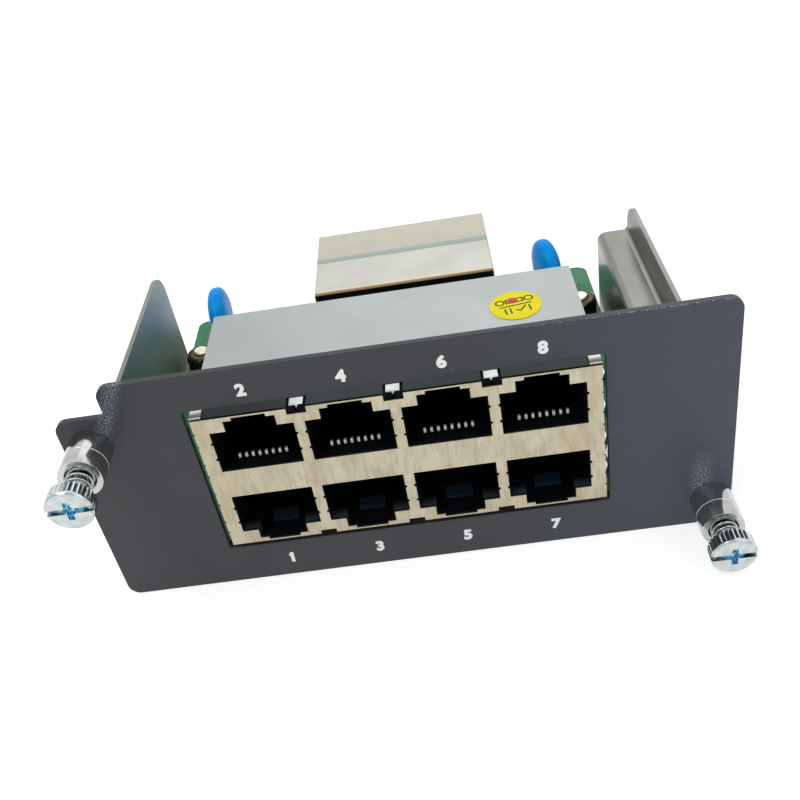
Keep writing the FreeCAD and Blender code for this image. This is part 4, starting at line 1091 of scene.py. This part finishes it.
@dataclass
class Board:
    """The circuit board, its fixings and the parts on it."""

    fixing_edge: float = 0.06 * MM
    part_edge: float = 0.05 * MM
    pad_radius: float = 3.2 * MM
    pad_inset: float = 3.05 * MM
    film: float = 0.05 * MM
    line: float = 0.15 * MM
    margin: float = 0.5 * MM
    foot: Pair = (0.8 * MM, 0.18 * MM)
    chip_feet: tuple[float, float, float] = (1 * MM, 0.5 * MM, 0.22 * MM)
    transformer_feet: tuple[float, float, float] = (1.2 * MM, 1.27 * MM, 0.5 * MM)
    passive: tuple[float, float, float] = (1.0 * MM, 0.5 * MM, 0.45 * MM)
    passive_count: int = 4
    passive_start: float = 4.5 * MM
    passive_pitch: float = 2.4 * MM
    passive_rows: Pair = (2 * MM, 5 * MM)
    terminal: float = 0.22 * MM
    joint_radius: float = 0.55 * MM
    joint_height: float = 0.35 * MM
    pin_rows: tuple[int, int] = (16, 5)
    pin: float = 0.2 * MM
    lead: float = 0.3 * MM

    def build(self) -> None:
        """Makes the board and what it carries."""
        carried("circuit_board")
        for node in ("board_studs", "board_spacers", "board_nuts"):
            refined(node, self.fixing_edge)
        for node in ("interface_chip", "line_transformers"):
            refined(node, self.part_edge)
        self.pads()
        self.legend()
        self.leads()
        self.passives()
        self.joints()

    @property
    def top(self) -> float:
        """The height of the board's upper face."""
        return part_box("circuit_board")[1].z

    def pads(self) -> None:
        """Tinned rings under the nuts."""
        shape = bmesh.new()
        low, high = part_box("board_nuts")
        for x in (low.x + self.pad_inset, high.x - self.pad_inset):
            for y in (low.y + self.pad_inset, high.y - self.pad_inset):
                add_disc(shape, Vector((x, y, low.z)), self.pad_radius, self.film)
        new_piece("board_pads", shape, SOLDER, "board_studs")

    def legend(self) -> None:
        """White outlines printed round the parts."""
        shape = bmesh.new()
        for node in ("interface_chip", "left_capacitor", "right_capacitor"):
            low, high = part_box(node)
            grow = Vector((self.margin, self.margin, 0.0))
            floor = Vector((0.0, 0.0, self.top - low.z))
            add_frame(shape, low - grow + floor, high + grow, self.line, self.film / 2)
        new_piece("board_legend", shape, SILK_INK, "circuit_board")

    def leads(self) -> None:
        """The chip's and the transformers' soldered feet, along both long sides of each."""
        shape = bmesh.new()
        reach, height = self.foot
        for node, (inset, pitch, width) in (
            ("interface_chip", self.chip_feet), ("line_transformers", self.transformer_feet)
        ):
            low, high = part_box(node)
            left, right = low.x + inset, high.x - inset
            for index in range(int((right - left) / pitch) + 1):
                x = left + index * pitch
                for near, far in ((low.y - reach, low.y), (high.y, high.y + reach)):
                    foot_low = (x - width / 2, near, self.top)
                    add_block(shape, foot_low, (x + width / 2, far, self.top + height))
        new_piece("chip_feet", shape, SOLDER, "board_studs")

    def passives(self) -> None:
        """Small ceramic parts on both sides of the chip."""
        bodies, ends = bmesh.new(), bmesh.new()
        low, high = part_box("interface_chip")
        reaches = [
            self.passive_start + index * self.passive_pitch for index in range(self.passive_count)
        ]
        places = [
            (x, low.y + row)
            for reach in reaches
            for x in (low.x - reach, high.x + reach)
            for row in self.passive_rows
        ]
        length, width, height = self.passive
        for x, y in places:
            add_block(
                bodies,
                (x - width / 2, y - length / 2, self.top),
                (x + width / 2, y + length / 2, self.top + height),
                0.05 * MM,
            )
            for middle in (y - length / 2, y + length / 2):
                add_block(
                    ends,
                    (x - width / 2 - self.film, middle - self.terminal, self.top),
                    (x + width / 2 + self.film, middle + self.terminal, self.top + height * 0.9),
                    0.04 * MM,
                )
        new_piece("passive_bodies", bodies, CERAMIC, "interface_chip")
        new_piece("passive_ends", ends, SOLDER, "interface_chip")

    def joints(self) -> None:
        """Solder cones round the pins and leads under the board."""
        shape = bmesh.new()
        low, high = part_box("backplane_connector_pins")
        columns, rows = self.pin_rows
        pitch_x = (high.x - low.x - 2 * self.pin) / (columns - 1)
        pitch_y = (high.y - low.y - 2 * self.pin) / (rows - 1)
        places = [
            (low.x + self.pin + column * pitch_x, low.y + self.pin + row * pitch_y)
            for column in range(columns)
            for row in range(rows)
        ]
        for side in ("left", "right"):
            low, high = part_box(f"{side}_capacitor_leads")
            middle = (low.x + high.x) / 2
            places += [(middle, low.y + self.lead), (middle, high.y - self.lead)]
        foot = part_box("circuit_board")[0].z - self.joint_height
        narrow = self.joint_radius * 0.45
        for x, y in places:
            centre = Vector((x, y, foot))
            add_disc(shape, centre, narrow, self.joint_height, 12, self.joint_radius)
        new_piece("solder_joints", shape, SOLDER, "board_studs")


@dataclass
class Sticker:
    """The round label with its plain marks."""

    turn: float = math.radians(8.0)
    ink: float = 0.012 * MM
    line: float = 0.28 * MM
    lift: float = 0.002 * MM
    rule_half: float = 2.55 * MM
    levels: Pair = (1.35 * MM, -1.4 * MM)
    half: float = 0.78 * MM
    rings: Pair = (-2.2 * MM, 2.35 * MM)
    boxes: Pair = (-0.75 * MM, 0.9 * MM)
    bars: tuple[float, float, float] = (-1.9 * MM, -1.1 * MM, 1.9 * MM)
    tick: float = 0.35 * MM
    tick_strokes: tuple[Pair, Pair] = ((50, 1.7 * MM), (140, 0.75 * MM))
    dab: Pair = (-0.15 * MM, 1.45 * MM)
    dab_radii: Pair = (0.85 * MM, 0.7 * MM)
    dab_height: float = 0.03 * MM

    def build(self) -> None:
        """Prints the label."""
        carried("inspection_sticker")
        self.lay("label_rule", self.rule(), LABEL_BLACK)
        self.lay("label_marks", self.marks(), LABEL_BLACK)
        self.lay("label_dot", self.dot(), LABEL_RED)

    def lay(self, name: str, shape: Shape, finish: Finish) -> None:
        """Lays a mark drawn about the origin on the label."""
        low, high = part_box("inspection_sticker")
        centre = (low + high) / 2
        centre.z = high.z - self.lift
        place = Matrix.Translation(centre) @ Matrix.Rotation(self.turn, 4, "Z")
        bmesh.ops.transform(shape, matrix=place, verts=shape.verts)
        new_piece(name, shape, finish, "inspection_sticker")

    def rule(self) -> Shape:
        """The line across the middle."""
        shape = bmesh.new()
        half, line = self.rule_half, self.line / 2
        add_block(shape, (-half, -line, 0.0), (half, line, self.ink))
        return shape

    def ring(self, shape: Shape, x: float) -> None:
        """Adds a flat ring on the upper line of marks."""
        centre = Vector((x, self.levels[0], 0.0))
        inner, outer = self.half - self.line, self.half
        section = ((inner, 0.0), (outer, 0.0), (outer, self.ink), (inner, self.ink))
        points = [centre + Vector((across, 0.0, up)) for across, up in section]
        turned(shape, points, centre, Axis.UP, 28)

    def marks(self) -> Shape:
        """Rings and boxes above the rule, bars and a tick below it."""
        shape = bmesh.new()
        (upper, lower), half, line = self.levels, self.half, self.line / 2
        for x in self.rings:
            self.ring(shape, x)
        box = half * 0.8
        for x in self.boxes:
            low, high = Vector((x - box, upper - box, 0.0)), Vector((x + box, upper + box, 0.0))
            add_frame(shape, low, high, self.line, self.ink)
        for x in self.bars:
            add_block(shape, (x - line, lower - half, 0.0), (x + line, lower + half, self.ink))
        foot = Matrix.Translation((self.tick, lower - half * 0.5, 0.0))
        for angle, length in self.tick_strokes:
            bar = bmesh.new()
            add_block(bar, (0.0, -line, 0.0), (length, line, self.ink))
            join(shape, bar, foot @ Matrix.Rotation(math.radians(angle), 4, "Z"))
        return shape

    def dot(self) -> Shape:
        """A dab of red over the upper marks."""
        shape = bmesh.new()
        foot, tip = self.dab_radii
        add_disc(shape, Vector((*self.dab, 0.0)), foot, self.ink + self.dab_height, 32, tip)
        return shape


@dataclass
class Jack:
    """The stacked jack."""

    edge: float = 0.07 * MM

    def build(self) -> None:
        """Dresses the jack's shield, housing and contacts."""
        for node in ("jack_shield", "jack_housing", "shield_dividers"):
            carried(node)
        for node in ("upper_port_contacts", "lower_port_contacts"):
            refined(node, self.edge, 3)


@dataclass
class Backplane:
    """The backplane connector."""

    columns: int = 16
    rows: int = 5
    pitch: float = 2.0 * MM
    low_row: float = 2.2 * MM
    blade: Pair = (0.5 * MM, 0.14 * MM)
    blade_gap: float = 1.0 * MM
    depth: Pair = (2.9 * MM, 0.6 * MM)
    chamfer: float = 0.6 * MM
    corner: float = 0.38 * MM
    edge: float = 0.25 * MM
    plate_edge: float = 0.05 * MM

    def round_corners(self, piece: bpy.types.Object) -> None:
        """Rounds the upright corners of the housing's rear."""
        low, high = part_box("backplane_connector_housing")
        shape = bmesh.new()
        shape.from_mesh(piece.data)

        def at_corner(vertex: bmesh.types.BMVert) -> bool:
            """Whether a corner of the mesh lies in one of the rear's upright edges."""
            place = vertex.co
            side = min(abs(place.x - low.x), abs(place.x - high.x))
            return side + abs(place.y - high.y) < self.chamfer + HAIR

        edges = [
            edge
            for edge in shape.edges
            if all(at_corner(end) for end in edge.verts)
            and abs(edge.verts[0].co.y - edge.verts[1].co.y) < 0.01 * MM
        ]
        bmesh.ops.bevel(
            shape, geom=edges, offset=self.corner, affect="EDGES", segments=4, profile=0.5,
            material=-1,
        )
        shape.to_mesh(piece.data)
        shape.free()

    def build(self) -> None:
        """Makes the connector."""
        self.round_corners(refined("backplane_connector_housing", self.edge, 3))
        refined("backplane_connector_plate", self.plate_edge)
        carried("backplane_connector_pins")
        self.blades()

    def blades(self) -> None:
        """A pair of gold blades in every cell."""
        shape = bmesh.new()
        low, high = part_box("backplane_connector_housing")
        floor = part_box("circuit_board")[1].z + self.low_row
        middle = (low.x + high.x) / 2
        width, sheet = self.blade
        near, far = (high.y - depth for depth in self.depth)
        lift = (self.blade_gap - sheet) / 2
        for column in range(self.columns):
            x = middle + (column - (self.columns - 1) / 2) * self.pitch
            for row in range(self.rows):
                z = floor + row * self.pitch
                for level in (z - lift, z + lift):
                    add_block(
                        shape,
                        (x - width / 2, near, level - sheet / 2),
                        (x + width / 2, far, level + sheet / 2),
                    )
        new_piece("backplane_blades", shape, GOLD, "backplane_connector_pins")


@dataclass
class Capacitors:
    """The two blue capacitors, dipped discs whose sides bulge softly."""

    radius: float = 5.48 * MM
    half_thickness: float = 1.94 * MM
    roundness: float = 0.68

    def disc(self, node: str, turn: float) -> None:
        """Makes one disc, turned by some degrees about the vertical."""
        low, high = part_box(node)
        shape = bmesh.new()
        bmesh.ops.create_uvsphere(shape, u_segments=72, v_segments=36, radius=1.0)
        for vertex in shape.verts:
            x, y, z = vertex.co
            across = math.hypot(x, y)
            spread = self.radius * across ** (self.roundness - 1.0) if across > 1e-4 else 0.0
            side = math.copysign(abs(z) ** self.roundness, z)
            vertex.co = (side * self.half_thickness, x * spread, y * spread)
        bmesh.ops.rotate(
            shape, verts=shape.verts, cent=(0.0, 0.0, 0.0),
            matrix=Matrix.Rotation(math.radians(turn), 3, "Z"),
        )
        bmesh.ops.translate(shape, verts=shape.verts, vec=(low + high) / 2)
        stand_in(node, "dipped", shape)

    def build(self) -> None:
        """Makes both capacitors and their leads."""
        for side, turn in (("left", 2.0), ("right", 13.0)):
            self.disc(f"{side}_capacitor", turn)
            refined(f"{side}_capacitor_leads")


@dataclass
class CaptiveScrew:
    """One thumbscrew with its spring and retainer."""

    side: str
    travel: float
    wire: float = 0.34 * MM
    coil: float = 1.85 * MM
    turns: int = 6
    steps: int = 40
    seat: float = 0.02 * MM
    thread_radii: Pair = (1.4 * MM, 1.56 * MM)
    thread_pitch: float = 0.5 * MM
    thread_turns: int = 5
    thread_margin: float = 0.45 * MM
    bore: float = 2.25 * MM
    bore_depth: float = 3.0 * MM
    collar: float = 0.8 * MM
    neck_bore: float = 1.33 * MM
    rear_bore: float = 1.58 * MM
    spigot: float = 2.6 * MM
    groove_place: float = 3.78 * MM
    groove_depth: float = 0.06 * MM
    edge: float = 0.2 * MM
    head_edge: float = 0.05 * MM

    @property
    def axis(self) -> Vector:
        """A point on the screw's axis."""
        low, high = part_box(f"{self.side}_thumbscrew")
        return (low + high) / 2

    def build(self) -> None:
        """Makes the screw's pieces."""
        screw = f"{self.side}_thumbscrew"
        low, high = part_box(screw)
        plate = ScrewPlate(
            f"{self.side}_screw_plate", srgb(200, 205, 203), srgb(176, 184, 184), (0.1, 0.2),
            (1.2, 0.12, 0.002), 1.0, axis=tuple(self.axis), face=low.y,
        )
        self.retainer()
        refined(screw, self.head_edge, finish=plate)
        self.spring()
        self.thread(screw, high.y, plate)

    def retainer(self) -> None:
        """Turns the retainer with rounded edges and its fine groove."""
        node = f"{self.side}_retainer"
        low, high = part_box(node)
        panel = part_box("front_panel")[0].y
        outer, rim, edge = (high.x - low.x) / 2, low.y, self.edge
        groove = panel - self.groove_place
        cut, flare = self.groove_depth, self.edge / 4
        neck = rim + self.bore_depth
        rear = neck + self.collar
        profile = (
            (self.bore, rim + edge), (self.bore + flare, rim + flare), (self.bore + edge, rim),
            (outer - edge, rim), (outer - flare, rim + flare), (outer, rim + edge),
            (outer, groove - cut), (outer - cut, groove), (outer, groove + cut), (outer, panel),
            (self.spigot, panel), (self.spigot, high.y), (self.rear_bore, high.y),
            (self.rear_bore, rear), (self.neck_bore, rear), (self.neck_bore, neck),
            (self.bore, neck),
        )
        middle = self.axis
        points = [Vector((middle.x + radius, y, middle.z)) for radius, y in profile]
        shape = bmesh.new()
        turned(shape, points, Vector((middle.x, 0.0, middle.z)), Axis.BACK, 96)
        bmesh.ops.recalc_face_normals(shape, faces=shape.faces)
        stand_in(node, "turned", shape, smooth=30.0)

    def thread(self, node: str, end: float, finish: Finish) -> None:
        """Cuts the thread near the screw's end."""
        shape = bmesh.new()
        start = end - self.thread_margin - self.thread_turns * self.thread_pitch
        half = self.thread_pitch * 0.42
        (root, crest), middle = self.thread_radii, self.axis
        points = [
            Vector((middle.x + radius, start + along, middle.z))
            for radius, along in ((root, -half), (crest, 0.0), (root, half))
        ]
        add_loop(shape, points)
        wind(shape, points[1], middle, self.thread_pitch, self.thread_turns, 32)
        new_piece(f"{self.side}_screw_thread", shape, finish, node, smooth=20.0)

    def spring(self) -> None:
        """Winds the spring at the length of its node."""
        node = f"{self.side}_spring"
        low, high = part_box(node)
        start = low.y + self.wire / 2 - self.seat
        length = high.y - low.y - self.wire + 2 * self.seat
        shape = bmesh.new()
        middle = self.axis
        foot = Vector((middle.x + self.coil, start, middle.z))
        bmesh.ops.create_circle(
            shape, segments=10, radius=self.wire / 2, matrix=Matrix.Translation(foot)
        )
        wind(shape, foot, middle, length / self.turns, self.turns, self.steps)
        piece = stand_in(node, "wound", shape, body=NODE_BODY["front_panel"], smooth=50.0)
        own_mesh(piece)


@dataclass
class Studio:
    """The pale floor, the soft lamps and the camera."""

    eye: tuple[float, float, float] = (0.010633, -0.110724, 0.114215)
    right: tuple[float, float, float] = (0.988082, -0.026407, -0.151644)
    up: tuple[float, float, float] = (0.136933, 0.600765, 0.787611)
    back: tuple[float, float, float] = (0.070304, -0.798989, 0.597221)
    lens: float = 43.418
    sensor: float = 36.0
    clip: Pair = (0.005, 50.0)
    floor_size: float = 6.0
    floor_tone: float = 0.93
    sky: float = 0.62
    floor_glow: float = 0.48
    aim: tuple[float, float, float] = (0.0, 0.03, 0.02)
    lamps: tuple[tuple[str, tuple[float, float, float], float, float], ...] = (
        ("key_lamp", (-0.35, -0.3, 0.75), 0.5, 1.5),
        ("fill_lamp", (0.6, -0.5, 0.5), 0.6, 0.6),
        ("back_lamp", (0.1, 0.7, 0.6), 0.6, 0.6),
    )

    @staticmethod
    def link(name: str, data: bpy.types.ID) -> bpy.types.Object:
        """Puts a new object into the scene."""
        thing = bpy.data.objects.new(name, data)
        bpy.context.scene.collection.objects.link(thing)
        return thing

    def camera(self) -> None:
        """Sets the camera up."""
        data = bpy.data.cameras.new("studio_camera")
        data.lens, data.sensor_width = self.lens, self.sensor
        data.clip_start, data.clip_end = self.clip
        camera = self.link("studio_camera", data)
        turn = Matrix((self.right, self.up, self.back)).transposed().to_4x4()
        camera.matrix_world = Matrix.Translation(self.eye) @ turn
        bpy.context.scene.camera = camera

    def floor(self) -> None:
        """Lays the floor, which keeps the card's shadow."""
        graph = Graph(bpy.data.materials.new("studio_floor"), PRINCIPLED)
        graph.wire(graph.shader, {
            "Base Color": (self.floor_tone, self.floor_tone, self.floor_tone, 1.0),
            "Roughness": 0.9,
            "Specular IOR Level": 0.0,
            "Emission Color": (1.0, 1.0, 1.0, 1.0),
            "Emission Strength": graph.product(graph.seen(), self.floor_glow),
        })
        shape = bmesh.new()
        bmesh.ops.create_grid(shape, x_segments=1, y_segments=1, size=self.floor_size / 2)
        mesh = bpy.data.meshes.new("studio_floor")
        shape.to_mesh(mesh)
        shape.free()
        mesh.materials.append(graph.owner)
        floor = self.link("studio_floor", mesh)
        floor.location.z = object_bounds()[0].z
        floor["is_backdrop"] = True

    def world(self) -> None:
        """Sets an even, pale surround."""
        graph = Graph(bpy.data.worlds.new("studio_surround"), "Background")
        bpy.context.scene.world = graph.owner
        strength = graph.span(graph.seen(), (0.0, 1.0), (self.sky, 1.0))
        graph.wire(graph.shader, {"Color": (1.0, 1.0, 1.0, 1.0), "Strength": strength})

    def light(self) -> None:
        """Hangs the soft lamps."""
        for name, place, size, power in self.lamps:
            data = bpy.data.lights.new(name, "AREA")
            data.shape, data.size, data.energy = "SQUARE", size, power
            lamp = self.link(name, data)
            lamp.location = place
            aim = Vector(self.aim) - Vector(place)
            lamp.rotation_euler = aim.to_track_quat("-Z", "Y").to_euler()

    def build(self) -> None:
        """Sets the whole studio up."""
        self.camera()
        self.floor()
        self.world()
        self.light()
        bpy.context.scene.view_settings.view_transform = "Standard"


def main() -> None:
    """Builds the card's pieces and the studio."""
    logging.basicConfig(level=logging.INFO)
    parts = (
        FrontPanel(),
        Tray(),
        Board(),
        Jack(),
        Sticker(),
        Backplane(),
        Capacitors(),
        CaptiveScrew("left", 4.05 * MM),
        CaptiveScrew("right", 3.2 * MM),
        Studio(),
    )
    for part in parts:
        part.build()
    bpy.context.view_layer.update()


if __name__ == "__main__":
    main()
